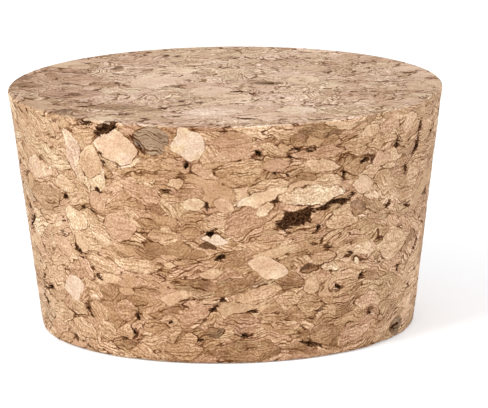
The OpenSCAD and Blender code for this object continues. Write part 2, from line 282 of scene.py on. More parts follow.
    Granule(18.3, 1.1, 2.5, 1.2, 10, Tone.UMBER, Cast.DULL),
)
TOP_GRANULES = (
    Granule(-12.7, -3.2, 5.6, 4.2, 0, Tone.RUST, Cast.ROSY, 0.9),
    Granule(-7.6, -9.8, 5.0, 2.4, -15, Tone.BROWN, Cast.DULL),
    Granule(-9.8, -8.8, 3.0, 2.2, 10, Tone.RUST),
    Granule(3.4, 0.5, 2.8, 1.7, -5, Tone.UMBER, Cast.DULL),
    Granule(13.4, -4.2, 1.1, 1.8, 0, Tone.BROWN, Cast.DULL),
    Granule(-9.0, 8.1, 1.2, 2.2, 0, Tone.BROWN),
    Granule(8.8, 9.2, 1.1, 2.0, 0, Tone.BROWN, Cast.ROSY, 0.4),
    Granule(-6.0, 1.5, 4.0, 4.4, 0, Tone.PALE, Cast.ROSY, 0.2),
    Granule(-1.2, -2.5, 3.6, 4.2, 0, Tone.PALE, Cast.ROSY, 0.2),
    Granule(-1.0, -11.5, 5.0, 3.4, 0, Tone.CREAM, Cast.ROSY, 0.3),
    Granule(5.8, -11.3, 3.4, 3.0, 0, Tone.CREAM, lined=0.3),
    Granule(6.4, 1.8, 3.0, 3.4, 0, Tone.PALE, lined=0.3),
    Granule(-12.0, 3.4, 3.2, 3.8, 0, Tone.TAN, Cast.ROSY, 0.3),
)


@dataclass(frozen=True)
class Ease:
    """A smooth step from one range of numbers to another.

    Attributes:
        low: Start of the range that comes in.
        high: End of that range.
        out_low: What goes out at and before the start.
        out_high: What goes out at and past the end.
    """

    low: float
    high: float
    out_low: float = 0.0
    out_high: float = 1.0


@dataclass(frozen=True)
class Noise:
    """A noise texture.

    Attributes:
        scale: Its waves in each unit of length.
        detail: Its layers of finer noise.
        rough: The strength of each finer layer.
    """

    scale: float
    detail: float = 1.0
    rough: float = 0.5


@dataclass(frozen=True)
class Stray:
    """A smooth random shift.

    Attributes:
        noise: The noise that it comes from.
        reach: Its reach along each axis.
    """

    noise: Noise
    reach: Triple


class Mix(Enum):
    """What a Mix node mixes, with the places of its two inputs and its output."""

    NUMBERS = ("FLOAT", 2, 3, 0)
    VECTORS = ("VECTOR", 4, 5, 1)
    COLOURS = ("RGBA", 6, 7, 2)


class Graph:
    """Adds nodes to a shader or geometry node tree and links them up."""

    def __init__(self, tree: bpy.types.NodeTree) -> None:
        """Starts on the tree that gets the nodes."""
        self.tree = tree

    def add(
        self, kind: str, inputs: dict[str | int, Value] | None = None, **settings: Any
    ) -> bpy.types.Node:
        """Adds a node.

        Args:
            kind: The node's type name.
            inputs: What its inputs get, by their names or places.
            **settings: Values for its properties.

        Returns:
            The new node.
        """
        node = self.tree.nodes.new(kind)
        for name, value in settings.items():
            setattr(node, name, value)
        for key, value in (inputs or {}).items():
            self.feed(node.inputs[key], value)
        return node

    def feed(self, socket: Socket, value: Value) -> None:
        """Links a socket to another, or sets its value.

        Args:
            socket: The input to fill.
            value: An output socket, or a plain value.
        """
        if isinstance(value, Socket):
            self.tree.links.new(value, socket)
        else:
            socket.default_value = value

    def maths(self, operation: str, *values: Value) -> Socket:
        """Works out a number from up to three numbers by a Math node's operation."""
        node = self.add("ShaderNodeMath", dict(enumerate(values)), operation=operation)
        return node.outputs[0]

    def plus(self, first: Value, second: Value) -> Socket:
        """Adds two numbers."""
        return self.maths("ADD", first, second)

    def minus(self, first: Value, second: Value) -> Socket:
        """Takes the second number from the first."""
        return self.maths("SUBTRACT", first, second)

    def times(self, first: Value, second: Value) -> Socket:
        """Multiplies two numbers."""
        return self.maths("MULTIPLY", first, second)

    def times_plus(self, value: Value, factor: Value, start: Value) -> Socket:
        """Multiplies a number by a factor, then adds to it."""
        return self.maths("MULTIPLY_ADD", value, factor, start)

    def vector(self, operation: str, *values: Value) -> Socket:
        """Works out a vector, or for DOT_PRODUCT and LENGTH a number, from vectors."""
        node = self.add("ShaderNodeVectorMath", dict(enumerate(values)), operation=operation)
        return node.outputs["Value" if operation in {"DOT_PRODUCT", "LENGTH"} else "Vector"]

    def scaled(self, vector: Value, factor: Value) -> Socket:
        """Multiplies a vector by a number."""
        parts = {"Vector": vector, "Scale": factor}
        return self.add("ShaderNodeVectorMath", parts, operation="SCALE").outputs["Vector"]

    def turned(self, vector: Value, centre: Value, angle: Value, axis: str) -> Socket:
        """Turns a vector.

        Args:
            vector: The vector.
            centre: The point that it turns about.
            angle: The angle, in radians.
            axis: The axis that it turns about: X, Y or Z.

        Returns:
            The turned vector.
        """
        parts = {"Vector": vector, "Center": centre, "Angle": angle}
        node = self.add("ShaderNodeVectorRotate", parts, rotation_type=f"{axis}_AXIS")
        return node.outputs[0]

    def split(self, vector: Value) -> tuple[Socket, Socket, Socket]:
        """Parts a vector into its three numbers."""
        outputs = self.add("ShaderNodeSeparateXYZ", {0: vector}).outputs
        return outputs[0], outputs[1], outputs[2]

    def join(self, *parts: Value) -> Socket:
        """Makes a vector from three numbers."""
        return self.add("ShaderNodeCombineXYZ", dict(enumerate(parts))).outputs[0]

    def out_from_axis(self, place: Value) -> Socket:
        """Finds how far a place is from the upright axis."""
        x, y, _ = self.split(place)
        return self.vector("LENGTH", self.join(x, y, 0.0))

    def ease(self, value: Value, step: Ease) -> Socket:
        """Maps a number smoothly from one range to another and keeps it there.

        Args:
            value: The number.
            step: The two ranges.

        Returns:
            The mapped number.
        """
        parts = {
            "Value": value,
            "From Min": step.low,
            "From Max": step.high,
            "To Min": step.out_low,
            "To Max": step.out_high,
        }
        node = self.add("ShaderNodeMapRange", parts, interpolation_type="SMOOTHSTEP")
        return node.outputs["Result"]

    def mix(
        self, kind: Mix, share: Value, first: Value, second: Value, way: str = "MIX"
    ) -> Socket:
        """Mixes two numbers, vectors or colours.

        Args:
            kind: Which of them.
            share: How much of the second to take.
            first: The first.
            second: The second.
            way: The Mix node's blend type.

        Returns:
            The mixed one.
        """
        data_type, low, high, result = kind.value
        parts = {0: share, low: first, high: second}
        node = self.add("ShaderNodeMix", parts, data_type=data_type, blend_type=way)
        return node.outputs[result]

    def noise(self, place: Value, noise: Noise, output: str = "Fac") -> Socket:
        """Reads a noise texture.

        Args:
            place: Where to read it.
            noise: The texture.
            output: Fac for a number, or Color for a colour.

        Returns:
            What it gives there.
        """
        parts = {
            "Vector": place,
            "Scale": noise.scale,
            "Detail": noise.detail,
            "Roughness": noise.rough,
        }
        return self.add("ShaderNodeTexNoise", parts, noise_dimensions="3D").outputs[output]

    def stray(self, place: Value, stray: Stray) -> Socket:
        """Reads a smooth random shift at a place, as a vector."""
        centred = self.vector("SUBTRACT", self.noise(place, stray.noise, "Color"), (0.5, 0.5, 0.5))
        return self.vector("MULTIPLY", centred, tuple(2 * r for r in stray.reach))

    def cells(self, place: Value, feature: str = "F1") -> bpy.types.Node:
        """Adds a Voronoi texture with cells one unit wide, which measures a feature."""
        parts = {"Vector": place, "Scale": 1.0}
        return self.add("ShaderNodeTexVoronoi", parts, voronoi_dimensions="3D", feature=feature)


@dataclass(frozen=True)
class Group:
    """A node group, for either kind of tree.

    Attributes:
        name: Its name.
        takes: The kind of each input, by the input's name.
        gives: The kind of each output, by the output's name.
        fill: Adds its nodes, given a graph and the inputs, and gives the outputs.
    """

    name: str
    takes: dict[str, str]
    gives: dict[str, str]
    fill: Callable[..., tuple[Socket, ...]]

    def tree_like(self, tree: bpy.types.NodeTree) -> bpy.types.NodeTree:
        """Finds or makes the group's own tree.

        Args:
            tree: A tree of the kind that it is to be.

        Returns:
            The group's tree of that kind.
        """
        name = f"{self.name}_{tree.bl_idname}"
        made = bpy.data.node_groups.get(name)
        if made is None:
            made = bpy.data.node_groups.new(name, tree.bl_idname)
            for side, kinds in (("INPUT", self.takes), ("OUTPUT", self.gives)):
                for label, kind in kinds.items():
                    made.interface.new_socket(label, in_out=side, socket_type=f"NodeSocket{kind}")
            inner = Graph(made)
            start = inner.add("NodeGroupInput")
            results = self.fill(inner, *[start.outputs[label] for label in self.takes])
            inner.add("NodeGroupOutput", dict(zip(self.gives, results)))
        return made

    def use(self, graph: Graph, *values: Value) -> list[Socket]:
        """Adds the group to a graph.

        Args:
            graph: The graph.
            *values: The inputs, in order.

        Returns:
            The outputs, in order.
        """
        is_shader = graph.tree.bl_idname == "ShaderNodeTree"
        kind = "ShaderNodeGroup" if is_shader else "GeometryNodeGroup"
        tree = self.tree_like(graph.tree)
        node = graph.add(kind, dict(zip(self.takes, values)), node_tree=tree)
        return [node.outputs[label] for label in self.gives]


@dataclass(frozen=True)
class Taper:
    """The stopper's turned outline, as the solid has it.

    Attributes:
        top_r: Widest radius, just under the top face.
        height: Height from foot to top face.
        foot_r: Radius at which the wall's line meets the ground.
        top_edge: Radius of the top edge's easing.
        foot_edge: Radius of the foot edge's easing.
        edge_rows: Rows of faces over each eased edge.
    """

    top_r: float
    height: float
    foot_r: float = 15.5
    top_edge: float = 0.25
    foot_edge: float = 0.35
    edge_rows: int = 3

    @property
    def lean(self) -> float:
        """Angle of the wall from upright, in radians."""
        run = Vector((self.top_r - self.top_edge - self.foot_r, self.height - self.top_edge))
        return math.atan2(run.x, run.y) + math.asin(self.top_edge / run.length)

    @property
    def middle_r(self) -> float:
        """Radius of the wall's line halfway up."""
        return self.wall_r(self.height / 2)

    def wall_r(self, z: float) -> float:
        """Radius of the wall's line at a height."""
        return self.foot_r + z * math.tan(self.lean)

    def outline(self, row: float, rows: int) -> Triple:
        """Finds a place on the outline between the two flat faces.

        Args:
            row: How many rows of faces it lies above the foot.
            rows: How many rows there are.

        Returns:
            Its radius, its height and its normal's angle above the horizontal.
        """
        foot_r = self.wall_r(self.foot_edge) - self.foot_edge / math.cos(self.lean)
        foot_at = (foot_r, self.foot_edge)
        top_at = (self.top_r - self.top_edge, self.height - self.top_edge)
        upright = math.pi / 2
        if row <= self.edge_rows:
            turn = -upright + (upright - self.lean) * row / self.edge_rows
            return self._eased(foot_at, self.foot_edge, turn)
        if row >= rows - self.edge_rows:
            turn = upright - (upright + self.lean) * (rows - row) / self.edge_rows
            return self._eased(top_at, self.top_edge, turn)
        low_r, low_z, _ = self._eased(foot_at, self.foot_edge, -self.lean)
        high_r, high_z, _ = self._eased(top_at, self.top_edge, -self.lean)
        share = (row - self.edge_rows) / (rows - 2 * self.edge_rows)
        return low_r + (high_r - low_r) * share, low_z + (high_z - low_z) * share, -self.lean

    @staticmethod
    def _eased(at: tuple[float, float], r: float, turn: float) -> Triple:
        """Gives radius, height and turn of a point on an edge's arc."""
        return at[0] + r * math.cos(turn), at[1] + r * math.sin(turn), turn

    def depth_below(self, at: Vector) -> float:
        """Depth of a point under the nearest face, with the edges taken as sharp."""
        wall = (self.wall_r(at.z) - math.hypot(at.x, at.y)) * math.cos(self.lean)
        return min(wall, self.height - at.z, at.z)


@dataclass
class Skin:
    """The fine skin that stands for the stopper's solid and follows its hollows.

    It starts as a cube from -1 to 1, whose upright sides become the wall and the
    eased edges, and whose ends become the two flat faces.

    Attributes:
        taper: The stopper's outline.
        across: Faces along each side of the grid that covers a flat face.
        rows: Rows of faces from the foot face to the top face.
        least_depth: Depth past which a face of the solid belongs to a hollow.
        reaches: How near a hollow a face is split once more, pass by pass.
        standoff: Height above the skin from which the solid is felt for.
        slack: How far rounding may leave a point off the cube's surface.
    """

    taper: Taper
    across: int = 108
    rows: int = 80
    least_depth: float = 0.15
    reaches: tuple[float, ...] = (0.30, 0.11)
    standoff: float = 0.7
    slack: float = 1e-5
    hollows: BVHTree = field(init=False)

    def __post_init__(self) -> None:
        """Gathers the hollows' faces from the solid."""
        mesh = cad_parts[NODE].data
        points = [v.co / MM for v in mesh.vertices]
        deep = [self.taper.depth_below(p) > self.least_depth for p in points]
        faces = [tuple(p.vertices) for p in mesh.polygons if any(deep[i] for i in p.vertices)]
        self.hollows = BVHTree.FromPolygons(points, faces)
        LOG.info("%d faces of the solid line its hollows", len(faces))

    def place(self, spot: Vector) -> tuple[Vector, Vector]:
        """Puts a point of the cube on the stopper.

        Args:
            spot: A point on the cube's surface.

        Returns:
            The point on the stopper and the outward normal there.
        """
        spot = Vector([round(c) if abs(abs(c) - 1) < self.slack else c for c in spot])
        squash = [math.sqrt(1 - c**2 / 2) for c in (spot.y, spot.x)]
        disc = Vector((spot.x * squash[0], spot.y * squash[1]))
        if max(abs(spot.x), abs(spot.y)) == 1:
            r, z, turn = self.taper.outline((spot.z + 1) / 2 * self.rows, self.rows)
            way = disc.normalized()
            normal = Vector((way.x * math.cos(turn), way.y * math.cos(turn), math.sin(turn)))
            return Vector((way.x * r, way.y * r, z)), normal
        r, z, _ = self.taper.outline(self.rows if spot.z > 0 else 0, self.rows)
        return Vector((disc.x * r, disc.y * r, z)), Vector((0, 0, 1 if spot.z > 0 else -1))

    def near_hollow(self, face: bmesh.types.BMFace, reach: float) -> bool:
        """Whether a face of the cube lies near a hollow."""
        at, _ = self.place(face.calc_center_median())
        return self.hollows.find_nearest(at, reach)[0] is not None

    def pressed(self, spot: Vector) -> tuple[Vector, float]:
        """Puts a point on the stopper and presses it down to the solid's hollow there.

        Args:
            spot: A point on the cube's surface.

        Returns:
            The point on the stopper, and how deep it was pressed or, below 0, how
            far off the nearest hollow is.
        """
        at, normal = self.place(spot)
        start = at + normal * self.standoff
        hit, face_normal, _, gap = self.hollows.ray_cast(start, -normal)
        if hit is not None and gap > self.standoff and face_normal.dot(normal) > 0:
            return hit, gap - self.standoff
        away = self.hollows.find_nearest(at, self.standoff)[3]
        return at, -self.standoff if away is None else -away

    def build(self) -> bpy.types.Object:
        """Makes the skin as one closed mesh.

        Returns:
            The new object.
        """
        bm = bmesh.new()
        bmesh.ops.create_cube(bm, size=2)
        self._split(bm, [e for e in bm.edges if self._rise(e) > 1], self.rows - 1)
        self._split(bm, [e for e in bm.edges if self._rise(e) < self.slack], self.across - 1)
        for reach in self.reaches:
            near = [f for f in bm.faces if self.near_hollow(f, reach)]
            self._split(bm, list({e for f in near for e in f.edges}), 1)
        sunk = bm.verts.layers.float.new(SUNK)
        for vert in bm.verts:
            at, vert[sunk] = self.pressed(vert.co)
            vert.co = at * MM
        bmesh.ops.recalc_face_normals(bm, faces=bm.faces)
        for face in bm.faces:
            face.smooth = True
        return as_object(bm, "cork_skin")

    @staticmethod
    def _rise(edge: bmesh.types.BMEdge) -> float:
        """Height of an edge of the cube from one end to the other."""
        return abs(edge.verts[0].co.z - edge.verts[1].co.z)

    @staticmethod
    def _split(bm: bmesh.types.BMesh, edges: list[bmesh.types.BMEdge], cuts: int) -> None:
        """Splits edges evenly, and the faces between them into a grid."""
        bmesh.ops.subdivide_edges(bm, edges=edges, cuts=cuts, use_grid_fill=True)


def as_object(bm: bmesh.types.BMesh, name: str) -> bpy.types.Object:
    """Turns a bmesh into an object of the scene.

    Args:
        bm: The bmesh, which is used up.
        name: The name of the object and of its mesh.

    Returns:
        The new object.
    """
    mesh = bpy.data.meshes.new(name)
    bm.to_mesh(mesh)
    bm.free()
    made = bpy.data.objects.new(name, mesh)
    bpy.context.scene.collection.objects.link(made)
    return made


@dataclass
class Grain:
    """What the nodes know about the cork at a place.

    Attributes:
        edge: Distance to the nearest seam between granules.
        look: Tone, cast and how plainly the growth lines show, each about 0 to 1.
        height: Distance across the granule's own growth layers.
    """

    edge: Socket
    look: Socket
    height: Socket


def fill_stamp(
    graph: Graph,
    edge: Socket,
    look: Socket,
    height: Socket,
    at: Socket,
    centre: Socket,
    turn: Socket,
    shrink: Socket,
    start: Socket,
    half: Socket,
    own: Socket,
) -> tuple[Socket, ...]:
    """Adds the nodes that set one named granule into the pattern, for a Group.

    Args:
        graph: The graph of the group.
        edge: Distance to the nearest rim of the granules over it.
        look: The look found so far.
        height: Distance across the growth layers found so far.
        at: The place in the flat face and its depth, or far off where a granule
            over this one has been found.
        centre: The granule's middle.
        turn: Its lean, in radians, with the sign changed.
        shrink: What the place is multiplied by, so that the outline is at 1.
        start: What is added then, so that the middle is at 0.
        half: Half its width.
        own: Its look.

    Returns:
        Edge, look, height and place with it.
    """
    local = graph.vector("MULTIPLY_ADD", graph.turned(at, centre, turn, "Z"), shrink, start)
    right, up, deep = graph.split(local)
    pinch = graph.times_plus(graph.times(right, right), *PINCH)
    bowed = graph.times(up, pinch)
    gap = graph.minus(graph.vector("LENGTH", graph.join(right, bowed, deep)), 1.0)
    inside = graph.maths("LESS_THAN", gap, 0.0)
    rim = graph.times(graph.maths("ABSOLUTE", gap), half)
    return (
        graph.maths("MINIMUM", edge, rim),
        graph.mix(Mix.VECTORS, inside, look, own),
        graph.mix(Mix.NUMBERS, inside, height, graph.times(bowed, half)),
        graph.vector("MULTIPLY_ADD", inside, (FAR, FAR, FAR), at),
    )


# What each stamp takes from the one before it and gives to the next.
FOUND = {"Edge": "Float", "Look": "Vector", "Height": "Float", "At": "Vector"}
STAMP = Group(
    name="granule",
    takes=FOUND
    | {
        "Centre": "Vector",
        "Turn": "Float",
        "Shrink": "Vector",
        "Start": "Vector",
        "Half": "Float",
        "Own": "Vector",
    },
    gives=FOUND,
    fill=fill_stamp,
)


@dataclass(frozen=True)
class Scatter:
    """Rounded granules, at most one to a cell of space, that lie over others.

    Attributes:
        size: Length and thickness of a cell.
        lean: Turn of the granules' length out of the level, in degrees.
        share: Share of the cells that hold a granule.
        start: Where the cells start, apart from the other scatters' cells.
        flatten: How fast the granules grow thin away from their middles.
        radii: Factor and start that turn a chance number into a radius, in cells.
        rim: Distance to the seam for a gap of one cell, in thicknesses of a cell.
        again: Factor that makes new chance numbers from a cell's first ones.
    """

    size: tuple[float, float]
    lean: float
    share: float
    start: float
    flatten: float = 3.0
    radii: tuple[float, float] = (-0.2, 0.54)
    rim: float = 1.2
    again: float = 7.0

    def lay(self, graph: Graph, bent: Socket, grain: Grain) -> Grain:
        """Lays the granules over the pattern.

        Args:
            graph: The graph that gets the nodes.
            bent: The place, bent so that no two granules are alike.
            grain: What was found before them.

        Returns:
            What is found with them.
        """
        thick = self.size[1]
        turned = graph.turned(bent, (0.0, 0.0, 0.0), math.radians(self.lean), "Y")
        at = graph.vector("MULTIPLY_ADD", turned, per_cell(self.size), (self.start,) * 3)
        cells = graph.cells(at)
        colour = cells.outputs["Color"]
        first, _, last = graph.split(colour)
        local = graph.vector("SUBTRACT", at, cells.outputs["Position"])
        bulge = graph.vector("DOT_PRODUCT", local, local)
        pinch = graph.join(1.0, 1.0, graph.times_plus(bulge, self.flatten, 1.0))
        local = graph.vector("MULTIPLY", local, pinch)
        radius = graph.times_plus(first, *self.radii)
        gap = graph.minus(graph.vector("LENGTH", local), radius)
        empty = graph.maths("GREATER_THAN", last, self.share)
        gap = graph.times_plus(empty, NONE_NEAR, gap)
        inside = graph.maths("LESS_THAN", gap, 0.0)
        rim = graph.times(graph.maths("ABSOLUTE", gap), thick * self.rim)
        own = graph.vector("FRACTION", graph.scaled(colour, self.again))
        level = graph.times(graph.split(local)[2], thick)
        nearest = graph.maths("MINIMUM", grain.edge, rim)
        return Grain(
            edge=graph.mix(Mix.NUMBERS, inside, nearest, rim),
            look=graph.mix(Mix.VECTORS, inside, grain.look, own),
            height=graph.mix(Mix.NUMBERS, inside, grain.height, level),
        )


def per_cell(size: tuple[float, float]) -> Triple:
    """Gives the factors that turn a place into one counted in cells of a size."""
    return 1 / size[0], 1 / size[0], 1 / size[1]


@dataclass(frozen=True)
class CorkGrain:
    """The pattern of granules, for the material's nodes and the relief's alike.

    Attributes:
        taper: The stopper's outline, for the named granules.
        size: Length and thickness of the granules that the others lie over.
        scatters: The rounded granules, each scatter over the ones before it.
        layers: Factors and starts that turn chance numbers into the direction
            across a pressed granule's growth layers.
        reach: How deep a named granule goes.
        top_layers: How closely the growth layers lie in the top's named granules,
            against those of the wall.
        fine: Small bends of every outline.
        middle: Bends about the size of a granule.
        wide: Slow bends over the whole stopper.
        ragged: Bends of the named granules' outlines.
        ragged_fine: Share of the small bends that those outlines have too.
        tones: Factor and start that turn a chance number into a tone.
        casts: Factor and start that turn a chance number into a cast.
        plain: How plainly growth lines show, by a chance number.
        wavy: What the small bends add across the growth layers.
    """

    taper: Taper
    size: tuple[float, float] = (4.6, 1.5)
    scatters: tuple[Scatter, ...] = (
        Scatter((5.6, 2.1), 6.0, 0.70, 11.0),
        Scatter((3.6, 1.5), -12.0, 0.50, 37.0),
        Scatter((2.2, 0.9), 14.0, 0.40, 73.0),
    )
    layers: tuple[Triple, Triple] = ((1.2, 1.2, 0.3), (-0.6, -0.6, 0.75))
    reach: float = 0.9
    top_layers: float = 0.3
    fine: Stray = Stray(Noise(2.2, 2.0), (0.2, 0.2, 0.16))
    middle: Stray = Stray(Noise(0.45), (0.7, 0.7, 0.5))
    wide: Stray = Stray(Noise(0.11), (1.8, 1.8, 2.4))
    ragged: Stray = Stray(Noise(0.8), (0.46, 0.46, 0.3))
    ragged_fine: float = 0.36
    tones: tuple[float, float] = (0.54, 0.265)
    casts: tuple[float, float] = (0.93, 0.07)
    plain: Ease = Ease(0.45, 0.9, 1.0, 0.15)
    wavy: float = -0.7

    def build(self, graph: Graph, place: Socket) -> Grain:
        """Adds the nodes that find the granule at a place.

        Args:
            graph: The graph that gets the nodes.
            place: The place, in millimetres.

        Returns:
            What the nodes find.
        """
        fine = graph.stray(place, self.fine)
        slow = graph.vector("ADD", graph.stray(place, self.middle), graph.stray(place, self.wide))
        bent = graph.vector("ADD", place, graph.vector("ADD", fine, slow))
        grain = self._pressed(graph, bent)
        for scatter in self.scatters:
            grain = scatter.lay(graph, bent, grain)
        tone, cast, plain = graph.split(grain.look)
        tone = graph.times_plus(tone, *self.tones)
        cast = graph.times_plus(cast, *self.casts)
        grain.look = graph.join(tone, cast, graph.ease(plain, self.plain))
        ragged = graph.scaled(fine, self.ragged_fine)
        ragged = graph.vector("ADD", ragged, graph.stray(place, self.ragged))
        grain = self._with_named(graph, grain, place, ragged)
        rough = graph.times(graph.split(fine)[2], self.wavy)
        grain.height = graph.plus(grain.height, rough)
        return grain

    def _pressed(self, graph: Graph, bent: Socket) -> Grain:
        """Adds the pressed granules that all the others lie over.

        Args:
            graph: The graph that gets the nodes.
            bent: The place, bent so that no two granules are alike.

        Returns:
            What is found of them.
        """
        at = graph.vector("MULTIPLY", bent, per_cell(self.size))
        cells = graph.cells(at).outputs["Color"]
        edge = graph.cells(at, "DISTANCE_TO_EDGE").outputs["Distance"]
        across = graph.vector("MULTIPLY_ADD", cells, *self.layers)
        return Grain(
            edge=graph.times(edge, self.size[1]),
            look=cells,
            height=graph.vector("DOT_PRODUCT", bent, graph.vector("NORMALIZE", across)),
        )

    def _with_named(self, graph: Graph, grain: Grain, place: Socket, ragged: Socket) -> Grain:
        """Sets the named granules into the pattern.

        Args:
            graph: The graph that gets the nodes.
            grain: What was found before them.
            place: The place, in millimetres.
            ragged: The shift that makes their outlines uneven.

        Returns:
            What is found with them.
        """
        x, y, z = graph.split(graph.vector("ADD", place, ragged))
        over = graph.join(x, y, graph.minus(self.taper.height, z))
        along = graph.vector("ADD", self._unrolled(graph, place), ragged)
        edge, look, height, found = NONE_NEAR, grain.look, grain.height, 0.0
        faces = ((WALL_GRANULES, along, 1.0), (TOP_GRANULES, over, self.top_layers))
        for granules, at, layers in faces:
            level, before = 0.0, found
            at = graph.vector("ADD", at, graph.times(found, FAR))
            for granule in reversed(granules):
                edge, look, level, at = self._stamp(graph, (edge, look, level, at), granule)
            found = graph.maths("GREATER_THAN", graph.vector("LENGTH", at), FAR / 2)
            level = graph.times(level, layers)
            height = graph.mix(Mix.NUMBERS, graph.minus(found, before), height, level)
        base = graph.times_plus(found, NONE_NEAR, grain.edge)
        return Grain(graph.maths("MINIMUM", edge, base), look, height)

    def _unrolled(self, graph: Graph, place: Socket) -> Socket:
        """Adds nodes that unroll the wall.

        Args:
            graph: The graph that gets the nodes.
            place: The place, in millimetres.

        Returns:
            The place along the wall, up it and in from it.
        """
        x, y, z = graph.split(place)
        turn = graph.maths("ARCTAN2", x, graph.times(y, -1.0))
        wall_r = graph.times_plus(z, math.tan(self.taper.lean), self.taper.foot_r)
        inward = graph.minus(wall_r, graph.out_from_axis(place))
        return graph.join(graph.times(turn, self.taper.middle_r), z, inward)

    def _stamp(self, graph: Graph, before: tuple[Value, ...], granule: Granule) -> list[Socket]:
        """Sets one named granule under those that were set before it.

        Args:
            graph: The graph that gets the nodes.
            before: Edge, look, height and place before it.
            granule: The granule.

        Returns:
            Edge, look, height and place with it.
        """
        shrink = Vector((2 / granule.length, 2 / granule.width, 1 / self.reach))
        centre = Vector((granule.right, granule.up, 0))
        return STAMP.use(
            graph,
            *before,
            tuple(centre),
            -math.radians(granule.lean),
            tuple(shrink),
            tuple(-centre * shrink),
            granule.width / 2,
            (granule.tone.value, granule.cast.value, granule.lined),
        )


@dataclass(frozen=True)
class Relief:
    """The unevenness of the cut cork, raised on the skin's own mesh.

    Attributes:
        grain: The pattern of granules.
        step: Most that one granule lies below another.
        shelf: How the step grows with the distance from the seam.
        again: Factor that makes a granule's own step from its tone.
        seam: Depth of the seam between two granules.
        seam_reach: Half-width of the seam's groove.
        swell: Depth of the slow waves left by the cut.
        waves: Those waves.
        rim: How far from the top's rim the relief starts to grow, and is whole.
        rim_share: Share of the relief that is left at the top's rim.
        top: How far below the top face its own share starts, and is whole.
        top_share: Share of the relief that the top face has.
    """

    grain: CorkGrain
    step: float = 0.09
    shelf: Ease = Ease(0.0, 0.4)
    again: float = 9.0
    seam: float = 0.05
    seam_reach: float = 0.22
    swell: float = 0.03
    waves: Noise = Noise(0.35, 2.0)
    rim: tuple[float, float] = (0.2, 1.4)
    rim_share: float = 0.25
    top: tuple[float, float] = (0.3, 0.1)
    top_share: float = 0.5

    def apply(self, skin: bpy.types.Object) -> None:
        """Raises the relief and keeps it in the skin's mesh.

        Args:
            skin: The skin, with no other modifier.
        """
        tree = bpy.data.node_groups.new("cork_relief", "GeometryNodeTree")
        for side in ("INPUT", "OUTPUT"):
            tree.interface.new_socket("Skin", in_out=side, socket_type="NodeSocketGeometry")
        graph = Graph(tree)
        start = graph.add("NodeGroupInput").outputs[0]
        position = graph.add("GeometryNodeInputPosition").outputs[0]
        normal = graph.add("GeometryNodeInputNormal").outputs[0]
        height = self._height(graph, graph.scaled(position, 1 / MM))
        shift = graph.scaled(normal, graph.times(height, MM))
        move = graph.add("GeometryNodeSetPosition", {"Geometry": start, "Offset": shift})
        graph.add("NodeGroupOutput", {0: move.outputs["Geometry"]})
        skin.modifiers.new("relief", "NODES").node_group = tree
        bpy.context.view_layer.update()
        seen = skin.evaluated_get(bpy.context.evaluated_depsgraph_get())
        raised = bpy.data.meshes.new_from_object(seen)
        skin.modifiers.clear()
        plain, skin.data = skin.data, raised
        raised.name = skin.name
        bpy.data.meshes.remove(plain)

    def _height(self, graph: Graph, place: Socket) -> Socket:
        """Adds the nodes that give the relief's height.

        Args:
            graph: The graph that gets the nodes.
            place: The place, in millimetres.

        Returns:
            The height, which is never above 0.
        """
        grain = self.grain.build(graph, place)
        own = graph.maths("FRACT", graph.times(graph.split(grain.look)[0], self.again))
        level = graph.times(own, self.step)
        level = graph.times(level, graph.ease(grain.edge, self.shelf))
        groove = graph.ease(grain.edge, Ease(0.0, self.seam_reach, -self.seam, 0.0))
        waves = graph.times(graph.noise(place, self.waves), -self.swell)
        height = graph.plus(graph.minus(groove, level), waves)
        return graph.times(height, self._weight(graph, place))

    def _weight(self, graph: Graph, place: Socket) -> Socket:
        """Adds the nodes that weaken the relief on the top and near its rim.

        Args:
            graph: The graph that gets the nodes.
            place: The place, in millimetres.

        Returns:
            The share of the relief that is left.
        """
        taper = self.grain.taper
        z = graph.split(place)[2]
        outward = graph.minus(graph.out_from_axis(place), taper.top_r)
        gap = graph.vector("LENGTH", graph.join(outward, graph.minus(z, taper.height), 0.0))
        rim = graph.ease(gap, Ease(*self.rim, self.rim_share, 1.0))
        low, high = (taper.height - down for down in self.top)
        return graph.times(rim, graph.ease(z, Ease(low, high, 1.0, self.top_share)))


@dataclass
class Spot:
    """What the material knows about a place.

    Attributes:
        place: The place, in millimetres.
        grain: The granule there.
        depth: How deep it is in a hollow or, below 0, how far off one.
        speck: The finest noise.
        change: Slow change from one patch of the cork to the next.
        band: Soft bands along the granule's growth layers.
    """

    place: Socket
    grain: Grain
    depth: Socket
    speck: Socket
    change: Socket
    band: Socket


@dataclass(frozen=True)
class Streaks:
    """Noise drawn out along the growth layers of the granules.

    Attributes:
        across: Waves in each millimetre across the layers.
        along: Waves in each millimetre along them.
        noise: The noise.
        apart: Shift from one granule's streaks to another's, or 0 where they run on.
    """

    across: float
    along: float
    noise: Noise
    apart: float = 0.0

    def build(self, graph: Graph, place: Socket, grain: Grain) -> Socket:
        """Adds the streaks.

        Args:
            graph: The graph that gets the nodes.
            place: The place, in millimetres.
            grain: The granule there.

        Returns:
            The streaks, as a number from 0 to 1.
        """
        across = graph.join(graph.times(grain.height, self.across), 0.0, 0.0)
        at = graph.vector("ADD", across, graph.scaled(place, self.along))
        if self.apart:
            at = graph.vector("ADD", at, graph.scaled(grain.look, self.apart))
        return graph.noise(at, self.noise)


@dataclass(frozen=True)
class Wash:
    """A colour laid over another, as thickly as a number says.

    Attributes:
        colour: The colour.
        share: How much of it shows, by the number.
    """

    colour: Colour
    share: Ease

    def over(self, graph: Graph, below: Value, value: Socket, strength: Value = 1.0) -> Socket:
        """Lays the colour over another, by the number's share times a strength."""
        share = graph.times(graph.ease(value, self.share), strength)
        return graph.mix(Mix.COLOURS, share, below, self.colour)


